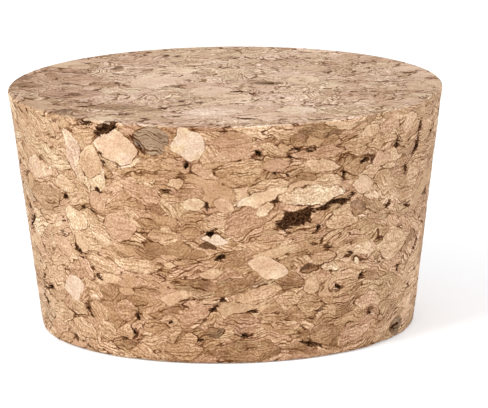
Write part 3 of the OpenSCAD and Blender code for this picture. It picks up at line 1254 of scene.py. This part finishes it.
@dataclass(frozen=True)
class GrowthLines:
    """Thin growth lines inside the granules, each between two paler rims.

    Attributes:
        per_mm: Lines in each millimetre across the layers.
        wander: How far the bands bend them, in spaces between lines.
        half: Half-width of the faintest line, in such spaces, and what strength adds.
        own: Strength of a line, by its own chance number.
        patchy: Strength by the slow change.
        on_dark: How plainly they show at least, by a dark granule's tone.
        on_pale: What that is multiplied by, which is least on pale granules.
        shown: Strength by how plainly they show.
        line: Darkness by the distance from the middle, in half-widths.
        rim_in: Where the paler rim starts, in half-widths.
        rim_out: Where it ends.
        ink: What a line multiplies the colour by.
    """

    per_mm: float = 3.6
    wander: float = 1.3
    half: float = 0.1
    own: Ease = Ease(0.1, 0.9, 0.34, 1.0)
    patchy: Ease = Ease(0.26, 0.56, 0.42, 1.0)
    on_dark: Ease = Ease(0.3, 0.55, 0.8, 0.0)
    on_pale: Ease = Ease(0.6, 0.95, 1.2, 0.6)
    shown: Ease = Ease(0.0, 0.9)
    line: Ease = Ease(0.5, 1.1, 1.0, 0.0)
    rim_in: Ease = Ease(0.9, 1.4)
    rim_out: Ease = Ease(1.6, 2.6, 1.0, 0.0)
    ink: Colour = (0.34, 0.24, 0.13, 1.0)

    def build(self, graph: Graph, spot: Spot) -> tuple[Socket, Socket]:
        """Adds the lines and the rims beside them.

        Args:
            graph: The graph that gets the nodes.
            spot: What is known about the place.

        Returns:
            The darkness of the lines and the strength of the rims.
        """
        tone, _, lined = graph.split(spot.grain.look)
        count = graph.times_plus(spot.grain.height, self.per_mm, tone)
        count = graph.times_plus(spot.band, self.wander, count)
        parts = {"Vector": spot.grain.look, "W": graph.maths("ROUND", count)}
        own = graph.add("ShaderNodeTexWhiteNoise", parts, noise_dimensions="4D").outputs["Value"]
        strength = graph.times(graph.ease(own, self.own), graph.ease(spot.change, self.patchy))
        half = graph.times_plus(strength, self.half, self.half)
        away = graph.maths("DIVIDE", graph.maths("PINGPONG", count, 0.5), half)
        lined = graph.maths("MAXIMUM", lined, graph.ease(tone, self.on_dark))
        lined = graph.times(lined, graph.ease(tone, self.on_pale))
        strength = graph.times(strength, graph.ease(lined, self.shown))
        rim = graph.times(graph.ease(away, self.rim_in), graph.ease(away, self.rim_out))
        line = graph.times(graph.ease(away, self.line), strength)
        return line, graph.times(rim, strength)


@dataclass(frozen=True)
class Seams:
    """The dark seams between granules, darkest near the hollows.

    Attributes:
        near: How near a hollow a place is, by its depth.
        half: Half-width of a seam, by the slow change.
        near_half: What a hollow nearby adds to it.
        strength: Strength of a seam, by the slow change.
        near_strength: Its least strength beside a hollow.
        fringe: Its brown fringe, by the distance from the middle, in half-widths.
        core: Its dark core, in the same way.
    """

    near: Ease = Ease(-0.7, -0.05)
    half: Ease = Ease(0.45, 0.72, 0.03, 0.078)
    near_half: float = 0.03
    strength: Ease = Ease(0.44, 0.66, 0.12, 0.9)
    near_strength: float = 0.8
    fringe: Wash = Wash(linear(114, 66, 28), Ease(0.6, 1.1, 0.85, 0.0))
    core: Wash = Wash(linear(54, 26, 7), Ease(0.25, 0.6, 0.95, 0.0))

    def over(self, graph: Graph, colour: Socket, spot: Spot) -> Socket:
        """Lays the seams over the colour of the granules.

        Args:
            graph: The graph that gets the nodes.
            colour: The colour of the granules.
            spot: What is known about the place.

        Returns:
            The colour with the seams.
        """
        near = graph.ease(spot.depth, self.near)
        half = graph.times_plus(near, self.near_half, graph.ease(spot.change, self.half))
        away = graph.maths("DIVIDE", spot.grain.edge, half)
        strength = graph.ease(spot.change, self.strength)
        strength = graph.maths("MAXIMUM", strength, graph.times(near, self.near_strength))
        colour = self.fringe.over(graph, colour, away, strength)
        return self.core.over(graph, colour, away, strength)


@dataclass(frozen=True)
class HollowShadeAndBark:
    """Painted shade in the hollows, darker the deeper they go, which also gives the bark pocket
    its own dark.

    Attributes:
        ragged: Streaks that make the edge of the dark uneven.
        uneven: What they add to the depth.
        mottle: Noise that mottles the dark.
        dark: The dark of the painted shade, and of the bark.
        pale: Its paler mottles.
        rim: The brown rim where the painted shade starts, by the depth.
        floor: How much the painted shade shows, by the depth.
    """

    ragged: Streaks = Streaks(2.6, 1.2, Noise(1.0, 2.0, 0.7))
    uneven: Ease = Ease(0.3, 0.7, -0.34, 0.34)
    mottle: Noise = Noise(4.6, 3.0, 0.8)
    dark: Colour = linear(42, 21, 7)
    pale: Wash = Wash(linear(122, 84, 54), Ease(0.46, 0.62))
    rim: Wash = Wash(linear(94, 54, 24), Ease(0.0, 0.07, 0.0, 0.85))
    floor: Ease = Ease(0.08, 0.14, 0.0, 0.97)

    def over(self, graph: Graph, face: Socket, spot: Spot) -> Socket:
        """Lays the painted shade of the hollows, and the bark's dark, over the colour of the cut
        faces.

        Args:
            graph: The graph that gets the nodes.
            face: The colour of the cut faces.
            spot: What is known about the place.

        Returns:
            The colour with the painted shade in the hollows.
        """
        ragged = self.ragged.build(graph, spot.place, spot.grain)
        depth = graph.plus(spot.depth, graph.ease(ragged, self.uneven))
        # Painted shade: the hollows' insides go dark by their depth; in the bark pocket this is
        # the bark's own dark too.
        dark = self.pale.over(graph, self.dark, graph.noise(spot.place, self.mottle))
        colour = self.rim.over(graph, face, depth)
        return graph.mix(Mix.COLOURS, graph.ease(depth, self.floor), colour, dark)


@dataclass(frozen=True)
class FaceLight:
    """How light or dark each spot of the cut faces is, around 1, with painted shade along the
    seams and a painted highlight beside them.

    Attributes:
        threads: Fine threads along the growth layers.
        thread: Light by the threads.
        band: Light by the soft bands.
        unlined: Light of a granule without growth lines, by the slow change.
        sand: Strength of the finest specks, by how plainly the lines show.
        speck: The specks, from dark to light.
        drifting: Slow drift over the whole stopper.
        drift: Light by the drift.
        edge: Painted shade: light by the distance from the seam, darker near it as on a domed
            granule.
        highlight_in: Where the painted highlight beside a seam starts, as on a raised edge.
        highlight_out: Where it ends.
        seam_highlight: Light of that painted highlight.
        rim: Light beside a growth line.
    """

    threads: Streaks = Streaks(6.0, 0.7, Noise(1.0, 2.0, 0.7))
    thread: Ease = Ease(0.3, 0.7, 0.68, 1.32)
    band: Ease = Ease(0.3, 0.7, 0.89, 1.1)
    unlined: Ease = Ease(0.3, 0.7, 1.1, 0.9)
    sand: Ease = Ease(0.0, 0.5, 0.16, 0.34)
    speck: Ease = Ease(0.36, 0.64, -1.0, 1.0)
    drifting: Noise = Noise(0.16)
    drift: Ease = Ease(0.3, 0.7, 0.9, 1.11)
    edge: Ease = Ease(0.0, 0.4, 0.93, 1.03)
    highlight_in: Ease = Ease(0.04, 0.1)
    highlight_out: Ease = Ease(0.12, 0.22)
    seam_highlight: Ease = Ease(0.0, 1.0, 1.0, 1.12)
    rim: Ease = Ease(0.0, 1.0, 1.0, 1.18)

    def build(self, graph: Graph, spot: Spot, rim: Socket) -> Socket:
        """Adds the light.

        Args:
            graph: The graph that gets the nodes.
            spot: What is known about the place.
            rim: The strength of the rims beside the growth lines.

        Returns:
            The light, as a factor.
        """
        lined = graph.split(spot.grain.look)[2]
        thread = graph.ease(self.threads.build(graph, spot.place, spot.grain), self.thread)
        streaks = graph.times(graph.ease(spot.band, self.band), thread)
        light = graph.mix(Mix.NUMBERS, lined, graph.ease(spot.change, self.unlined), streaks)
        sand = graph.times(graph.ease(lined, self.sand), graph.ease(spot.speck, self.speck))
        light = graph.times_plus(light, sand, light)
        edge = spot.grain.edge
        # Painted highlight: a pale line just beside each seam, as on a raised edge.
        seam_highlight = graph.minus(1.0, graph.ease(edge, self.highlight_out))
        seam_highlight = graph.times(seam_highlight, graph.ease(edge, self.highlight_in))
        drifting = graph.noise(spot.place, self.drifting)
        # The drift is the cork's own; edge gives painted shade toward each seam, and lip the
        # painted highlight beside it.
        for value, step in (
            (drifting, self.drift),
            (edge, self.edge),
            (seam_highlight, self.seam_highlight),
            (rim, self.rim),
        ):
            light = graph.times(light, graph.ease(value, step))
        return light


@dataclass(frozen=True)
class SawnTop:
    """The sawn top face, where the granules are evened out and finely pitted; its paler, greyer
    even colour is partly the sawn cork's own and partly painted sheen.

    Attributes:
        taper: The stopper's outline.
        from_wall: Share of the top, by how much farther off the wall is than the top.
        sawn: The even colour, partly the sawn cork's own and partly painted sheen.
        rosy: The colour that a rosy cast turns it to.
        by_tone: How much of the even colour shows, by the granule's tone.
        stretch: Factors that draw the pits out from left to right.
        pitting: Noise of the pits.
        pits: The pits, by that noise.
    """

    taper: Taper
    from_wall: Ease = Ease(-0.12, 0.08)
    sawn: Colour = linear(206, 185, 161)
    rosy: Wash = Wash(linear(199, 176, 159), Ease(0.1, 0.8))
    by_tone: Ease = Ease(-0.05, 0.5, 0.08, 0.46)
    stretch: Triple = (0.55, 1.7, 1.0)
    pitting: Noise = Noise(1.0, 2.0, 0.7)
    pits: Wash = Wash(linear(96, 60, 32), Ease(0.63, 0.67, 0.0, 0.8))

    def share(self, graph: Graph, place: Socket) -> Socket:
        """Adds the nodes that tell the top face from the wall.

        Args:
            graph: The graph that gets the nodes.
            place: The place, in millimetres.

        Returns:
            1 on the top face and 0 on the wall.
        """
        inward = graph.minus(self.taper.top_r, graph.out_from_axis(place))
        down = graph.minus(self.taper.height, graph.split(place)[2])
        return graph.ease(graph.minus(inward, down), self.from_wall)

    def over(
        self, graph: Graph, colour: Socket, place: Socket, top: Socket, tone: Socket, tint: Socket
    ) -> Socket:
        """Evens out and pits the colour on the top face, with an even colour that is partly
        painted sheen.

        Args:
            graph: The graph that gets the nodes.
            colour: The colour of the granules.
            place: The place, in millimetres.
            top: The share of the top face.
            tone: The granule's tone.
            tint: The granule's cast.

        Returns:
            The colour with the top's own and its painted sheen.
        """
        # Partly painted sheen: the top's even, paler and greyer colour stands in part for the
        # white shine seen at a grazing view.
        sawn = self.rosy.over(graph, self.sawn, tint)
        share = graph.times(top, graph.ease(tone, self.by_tone))
        colour = graph.mix(Mix.COLOURS, share, colour, sawn)
        pitting = graph.noise(graph.vector("MULTIPLY", place, self.stretch), self.pitting)
        return self.pits.over(graph, colour, pitting, top)


@dataclass(frozen=True)
class GranuleColour:
    """The colour of each granule, from its tone and its cast.

    Attributes:
        top: The sawn top face, with its painted sheen.
        tones: Colours along the range of tones.
        drifting: Slow drift of the tone.
        drift: What the drift adds to the tone.
        wall_light_by_x: Painted light: what the wall's tone gains from left to right, lighter on
            its left side.
        top_shade_by_x: Painted shade: what the top's tone gains from left to right, darker on its
            left side.
        tinting: Drift of the cast inside the granules.
        tint: What it adds to the cast.
        rosy: The colour of a rosy cast, by the cast.
        straw: The colour of a dull cast.
        grey: The colour of a grey cast.
        side_sheen_wall: Painted sheen: the pale, greyer colour that the wall leans to at its left
            and right edges.
        side_shade_top: Painted shade: the darker colour that the top leans to there.
        outward: How far they lean to it, by the distance from the middle.
    """

    top: SawnTop
    tones: tuple[tuple[float, Colour], ...] = (
        (0.00, linear(96, 66, 42)),
        (0.12, linear(144, 105, 72)),
        (0.24, linear(164, 124, 88)),
        (0.42, linear(182, 142, 105)),
        (0.62, linear(195, 156, 120)),
        (0.80, linear(207, 171, 135)),
        (0.94, linear(223, 196, 160)),
        (1.00, linear(218, 190, 164)),
    )
    drifting: Noise = Noise(0.5, 2.0)
    drift: Ease = Ease(0.25, 0.75, -0.12, 0.12)
    wall_light_by_x: Ease = Ease(-15.0, -5.0, 0.07, -0.09)
    top_shade_by_x: Ease = Ease(-16.0, -5.0, -0.26, 0.0)
    tinting: Noise = Noise(0.9, 3.0, 0.6)
    tint: Ease = Ease(0.25, 0.75, -0.4, 0.4)
    rosy: Wash = Wash(linear(193, 149, 121), Ease(0.45, 0.95, 0.0, 0.5))
    straw: Wash = Wash(linear(192, 158, 116), Ease(-0.1, 0.4, 0.3, 0.0))
    grey: Wash = Wash(linear(162, 139, 117), Ease(0.0, 0.16, 0.65, 0.0))
    side_sheen_wall: Colour = linear(208, 182, 154)
    side_shade_top: Colour = linear(158, 126, 98)
    outward: Ease = Ease(7.0, 17.0, 0.0, 0.17)

    def build(self, graph: Graph, spot: Spot) -> Socket:
        """Adds the nodes that give each granule its colour.

        Args:
            graph: The graph that gets the nodes.
            spot: What is known about the place.

        Returns:
            The colour.
        """
        tone, cast, _ = graph.split(spot.grain.look)
        x = graph.split(spot.place)[0]
        top = self.top.share(graph, spot.place)
        # Painted light and shade by x: the wall lighter on its left, the top darker on its left.
        over = graph.mix(Mix.NUMBERS, top, graph.ease(x, self.wall_light_by_x), graph.ease(x, self.top_shade_by_x))
        drift = graph.ease(graph.noise(spot.place, self.drifting), self.drift)
        tone = graph.plus(tone, graph.plus(drift, over))
        tint = graph.ease(graph.noise(spot.place, self.tinting), self.tint)
        tint = graph.plus(cast, tint)
        colour = self.rosy.over(graph, self._toned(graph, tone), tint)
        colour = self.straw.over(graph, colour, tint)
        colour = self.grey.over(graph, colour, cast)
        colour = self.top.over(graph, colour, spot.place, top, tone, tint)
        # Painted sheen on the wall's left and right edges, and painted shade on the top's there,
        # by the distance from the middle.
        side_light = graph.mix(Mix.COLOURS, top, self.side_sheen_wall, self.side_shade_top)
        sides = graph.ease(graph.maths("ABSOLUTE", x), self.outward)
        return graph.mix(Mix.COLOURS, sides, colour, side_light)

    def _toned(self, graph: Graph, tone: Socket) -> Socket:
        """Adds a ramp that turns a tone into a colour.

        Args:
            graph: The graph that gets the nodes.
            tone: The tone.

        Returns:
            The colour.
        """
        ramp = graph.add("ShaderNodeValToRGB", {0: tone})
        stops = ramp.color_ramp.elements
        while len(stops) < len(self.tones):
            stops.new(0.5)
        for stop, (at, colour) in zip(stops, self.tones):
            stop.position, stop.color = at, colour
        return ramp.outputs[0]


@dataclass(frozen=True)
class CorkFinish:
    """The look of cut cork: tones by granule, growth lines, dark seams and hollows, with painted
    shade in the hollows and painted light, shade and sheen on the faces.

    Attributes:
        grain: The pattern of granules.
        colour: The granules' colour.
        lines: The growth lines.
        light: The light and dark of the cut faces, with painted shade and highlights along the
            seams.
        seams: The seams between granules.
        hollows: The hollows' insides, with their painted shade and the bark's dark.
        speck: The finest noise.
        blur: How far the specks shift the seams' edges, each way.
        stretch: Factors that press the slow change flat.
        change: The slow change.
        bands: The soft bands.
        waves: Waves in the growth layers.
        wave_reach: How far they reach.
        fade: How strongly light and dark show in red, green and blue.
        roughness: Roughness by the specks.
        ior: Index of refraction.
        specular: Strength of the shine.
        grit: Height of the specks.
        ridge: Height of the pressed ridges.
        ridge_stretch: Factors that press those ridges flat.
        ridges: Noise of the ridges.
    """

    grain: CorkGrain
    colour: GranuleColour
    lines: GrowthLines = GrowthLines()
    light: FaceLight = FaceLight()
    seams: Seams = Seams()
    hollows: HollowShadeAndBark = HollowShadeAndBark()
    speck: Noise = Noise(6.0, 2.0, 0.8)
    blur: float = 0.05
    stretch: Triple = (0.7, 0.7, 1.4)
    change: Noise = Noise(1.0, 3.0, 0.6)
    bands: Streaks = Streaks(2.4, 0.4, Noise(1.0, 2.0, 0.6), 37.0)
    waves: Noise = Noise(0.6)
    wave_reach: float = 0.9
    fade: Triple = (0.76, 1.0, 1.24)
    roughness: Ease = Ease(0.3, 0.7, 0.55, 0.75)
    ior: float = 1.3
    specular: float = 0.08
    grit: float = 0.03
    ridge: float = 0.08
    ridge_stretch: Triple = (1.2, 1.2, 5.0)
    ridges: Noise = Noise(1.0, 2.0, 0.6)

    def build(self) -> bpy.types.Material:
        """Makes the material.

        Returns:
            The new material.
        """
        graph, material = blank_material("bonded_cork")
        spot = self._spot(graph)
        colour = self.hollows.over(graph, self._face(graph, spot), spot)
        height = self._bump_height(graph, spot)
        bump = graph.add("ShaderNodeBump", {"Strength": 1.0, "Distance": MM, "Height": height})
        parts = {
            "Base Color": colour,
            "Roughness": graph.ease(spot.speck, self.roughness),
            "IOR": self.ior,
            "Specular IOR Level": self.specular,
            "Normal": bump.outputs["Normal"],
        }
        surface = graph.add("ShaderNodeBsdfPrincipled", parts)
        graph.add("ShaderNodeOutputMaterial", {"Surface": surface.outputs[0]})
        return material

    def _spot(self, graph: Graph) -> Spot:
        """Adds the nodes that find out about the place.

        Args:
            graph: The graph that gets the nodes.

        Returns:
            What they find.
        """
        position = graph.add("ShaderNodeTexCoord").outputs["Object"]
        place = graph.scaled(position, 1 / MM)
        speck = graph.noise(place, self.speck)
        grain = self.grain.build(graph, place)
        waves = graph.noise(place, self.waves)
        grain.height = graph.times_plus(waves, self.wave_reach, grain.height)
        grain.edge = graph.times_plus(speck, 2 * self.blur, graph.minus(grain.edge, self.blur))
        return Spot(
            place=place,
            grain=grain,
            depth=graph.add("ShaderNodeAttribute", attribute_name=SUNK).outputs["Fac"],
            speck=speck,
            change=graph.noise(graph.vector("MULTIPLY", place, self.stretch), self.change),
            band=self.bands.build(graph, place, grain),
        )

    def _face(self, graph: Graph, spot: Spot) -> Socket:
        """Adds the colour of the cut faces.

        Args:
            graph: The graph that gets the nodes.
            spot: What is known about the place.

        Returns:
            The colour.
        """
        line, rim = self.lines.build(graph, spot)
        light = self.light.build(graph, spot, rim)
        shades = graph.join(*[graph.maths("POWER", light, power) for power in self.fade])
        colour = self.colour.build(graph, spot)
        colour = graph.mix(Mix.COLOURS, 1.0, colour, shades, "MULTIPLY")
        colour = graph.mix(Mix.COLOURS, line, colour, self.lines.ink, "MULTIPLY")
        return self.seams.over(graph, colour, spot)

    def _bump_height(self, graph: Graph, spot: Spot) -> Socket:
        """Adds the height of the finest relief.

        Args:
            graph: The graph that gets the nodes.
            spot: What is known about the place.

        Returns:
            The height, in millimetres.
        """
        stretched = graph.vector("MULTIPLY", spot.place, self.ridge_stretch)
        height = graph.times(graph.noise(stretched, self.ridges), self.ridge)
        return graph.times_plus(spot.speck, self.grit, height)


def blank_material(name: str) -> tuple[Graph, bpy.types.Material]:
    """Makes a material without nodes.

    Args:
        name: Its name.

    Returns:
        The graph of its nodes, and the material.
    """
    material = bpy.data.materials.new(name)
    material.use_nodes = True
    material.node_tree.nodes.clear()
    return Graph(material.node_tree), material


def shows_background(graph: Graph) -> Socket:
    """Adds nodes that tell the rays that show the background, straight or mirrored.

    Args:
        graph: The graph that gets the nodes.

    Returns:
        1 for such a ray, and 0 for one that carries light.
    """
    path = graph.add("ShaderNodeLightPath").outputs
    either = graph.maths("MAXIMUM", path["Is Camera Ray"], path["Is Glossy Ray"])
    return graph.maths("MAXIMUM", either, path["Is Transmission Ray"])


@dataclass(frozen=True)
class FloorFinish:
    """The pale floor, which the camera sees as white but for the shadow.

    Attributes:
        tone: How pale it is.
        glow: What the rays that show the background get on top.
    """

    tone: float = 0.85
    glow: float = 0.25

    def build(self) -> bpy.types.Material:
        """Makes the material.

        Returns:
            The new material.
        """
        graph, material = blank_material("pale_floor")
        matt = graph.add("ShaderNodeBsdfDiffuse", {"Color": (*(self.tone,) * 3, 1)}).outputs[0]
        parts = {"Color": (1, 1, 1, 1), "Strength": self.glow}
        glow = graph.add("ShaderNodeEmission", parts).outputs[0]
        both = graph.add("ShaderNodeAddShader", {0: matt, 1: glow}).outputs[0]
        parts = {0: shows_background(graph), 1: matt, 2: both}
        pick = graph.add("ShaderNodeMixShader", parts).outputs[0]
        graph.add("ShaderNodeOutputMaterial", {"Surface": pick})
        return material


@dataclass(frozen=True)
class Lamp:
    """A square soft lamp that faces the stopper.

    Attributes:
        name: Its name.
        at: Its place.
        size: Its width.
        level: The light that it gives to a face turned to it.
        tint: The colour of its light.
        aim: The point that it faces.
    """

    name: str
    at: Triple
    size: float
    level: float
    tint: Triple
    aim: Triple = (0.0, 0.0, 10.0)

    def build(self) -> None:
        """Makes the lamp."""
        data = bpy.data.lights.new(self.name, "AREA")
        data.size, data.color = self.size * MM, self.tint
        way = Vector(self.aim) - Vector(self.at)
        data.energy = self.level * math.pi * (way.length * MM) ** 2
        lamp = bpy.data.objects.new(self.name, data)
        turned = way.to_track_quat("-Z", "Y").to_matrix().to_4x4()
        lamp.matrix_world = Matrix.Translation(Vector(self.at) * MM) @ turned
        bpy.context.scene.collection.objects.link(lamp)


@dataclass(frozen=True)
class Studio:
    """The pale floor, the soft light and the camera.

    Attributes:
        distance: From the camera to the middle of the stopper.
        pitch: How far the camera looks down, in degrees.
        roll: How far the camera is turned to the right about its own line, in degrees.
        focal: Focal length.
        sensor: Width of the camera's sensor.
        aim: The point in the middle of the view.
        clip_m: Nearest and farthest that the camera sees, in metres.
        floor_m: Half the floor's width, in metres.
        sky: Strength of the even light from all round.
        lamps: The lamps.
    """

    distance: float = 400.0
    pitch: float = 12.15
    roll: float = -0.72
    focal: float = 354.4
    sensor: float = 36.0
    aim: Triple = (1.44, 0.0, 9.87)
    clip_m: tuple[float, float] = (0.01, 10.0)
    floor_m: float = 3.0
    sky: float = 0.75
    lamps: tuple[Lamp, ...] = (
        Lamp("key_light", (-320.0, -300.0, 330.0), 240.0, 2.2, (0.99, 1.01, 1.04)),
        Lamp("fill_light", (395.0, -160.0, 210.0), 300.0, 1.35, (0.93, 1.02, 1.14)),
    )

    def build(self) -> None:
        """Makes the whole studio."""
        self._camera()
        self._floor()
        self._world()
        for lamp in self.lamps:
            lamp.build()

    def _camera(self) -> None:
        """Makes the camera and hands it to the scene."""
        pitch, roll = math.radians(self.pitch), math.radians(self.roll)
        back = Vector((0, -math.cos(pitch), math.sin(pitch)))
        level = Vector((1, 0, 0))
        right = level * math.cos(roll) + back.cross(level) * math.sin(roll)
        data = bpy.data.cameras.new("camera")
        data.lens, data.sensor_width = self.focal, self.sensor
        data.clip_start, data.clip_end = self.clip_m
        camera = bpy.data.objects.new("camera", data)
        turned = Matrix((right, back.cross(right), back)).transposed().to_4x4()
        at = (Vector(self.aim) + back * self.distance) * MM
        camera.matrix_world = Matrix.Translation(at) @ turned
        bpy.context.scene.collection.objects.link(camera)
        bpy.context.scene.camera = camera

    def _floor(self) -> None:
        """Makes the floor."""
        bm = bmesh.new()
        bmesh.ops.create_grid(bm, x_segments=1, y_segments=1, size=self.floor_m)
        floor = as_object(bm, "floor")
        floor.data.materials.append(FloorFinish().build())

    def _world(self) -> None:
        """Makes the white background and the even light that it gives."""
        world = bpy.data.worlds.new("studio")
        bpy.context.scene.world = world
        world.use_nodes = True
        world.node_tree.nodes.clear()
        graph = Graph(world.node_tree)
        strength = graph.mix(Mix.NUMBERS, shows_background(graph), self.sky, 1.0)
        sky = graph.add("ShaderNodeBackground", {"Color": (1, 1, 1, 1), "Strength": strength})
        graph.add("ShaderNodeOutputWorld", {"Surface": sky.outputs[0]})


def main() -> None:
    """Builds the stopper's skin and finish, and the studio."""
    logging.basicConfig(level=logging.INFO, format="%(name)s: %(message)s")
    _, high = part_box(NODE)
    taper = Taper(top_r=high.x / MM, height=high.z / MM)
    grain = CorkGrain(taper)
    skin = Skin(taper).build()
    Relief(grain).apply(skin)
    skin.data.materials.clear()
    skin.data.materials.append(CorkFinish(grain, GranuleColour(SawnTop(taper))).build())
    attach(skin, BODY)
    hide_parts(NODE)
    LOG.info("%s has %d faces", skin.name, len(skin.data.polygons))
    studio = Studio()
    studio.build()
    LOG.info("the floor, the camera and %d lamps stand", len(studio.lamps))
    bpy.context.scene.view_settings.view_transform = "Standard"


if __name__ == "__main__":
    main()
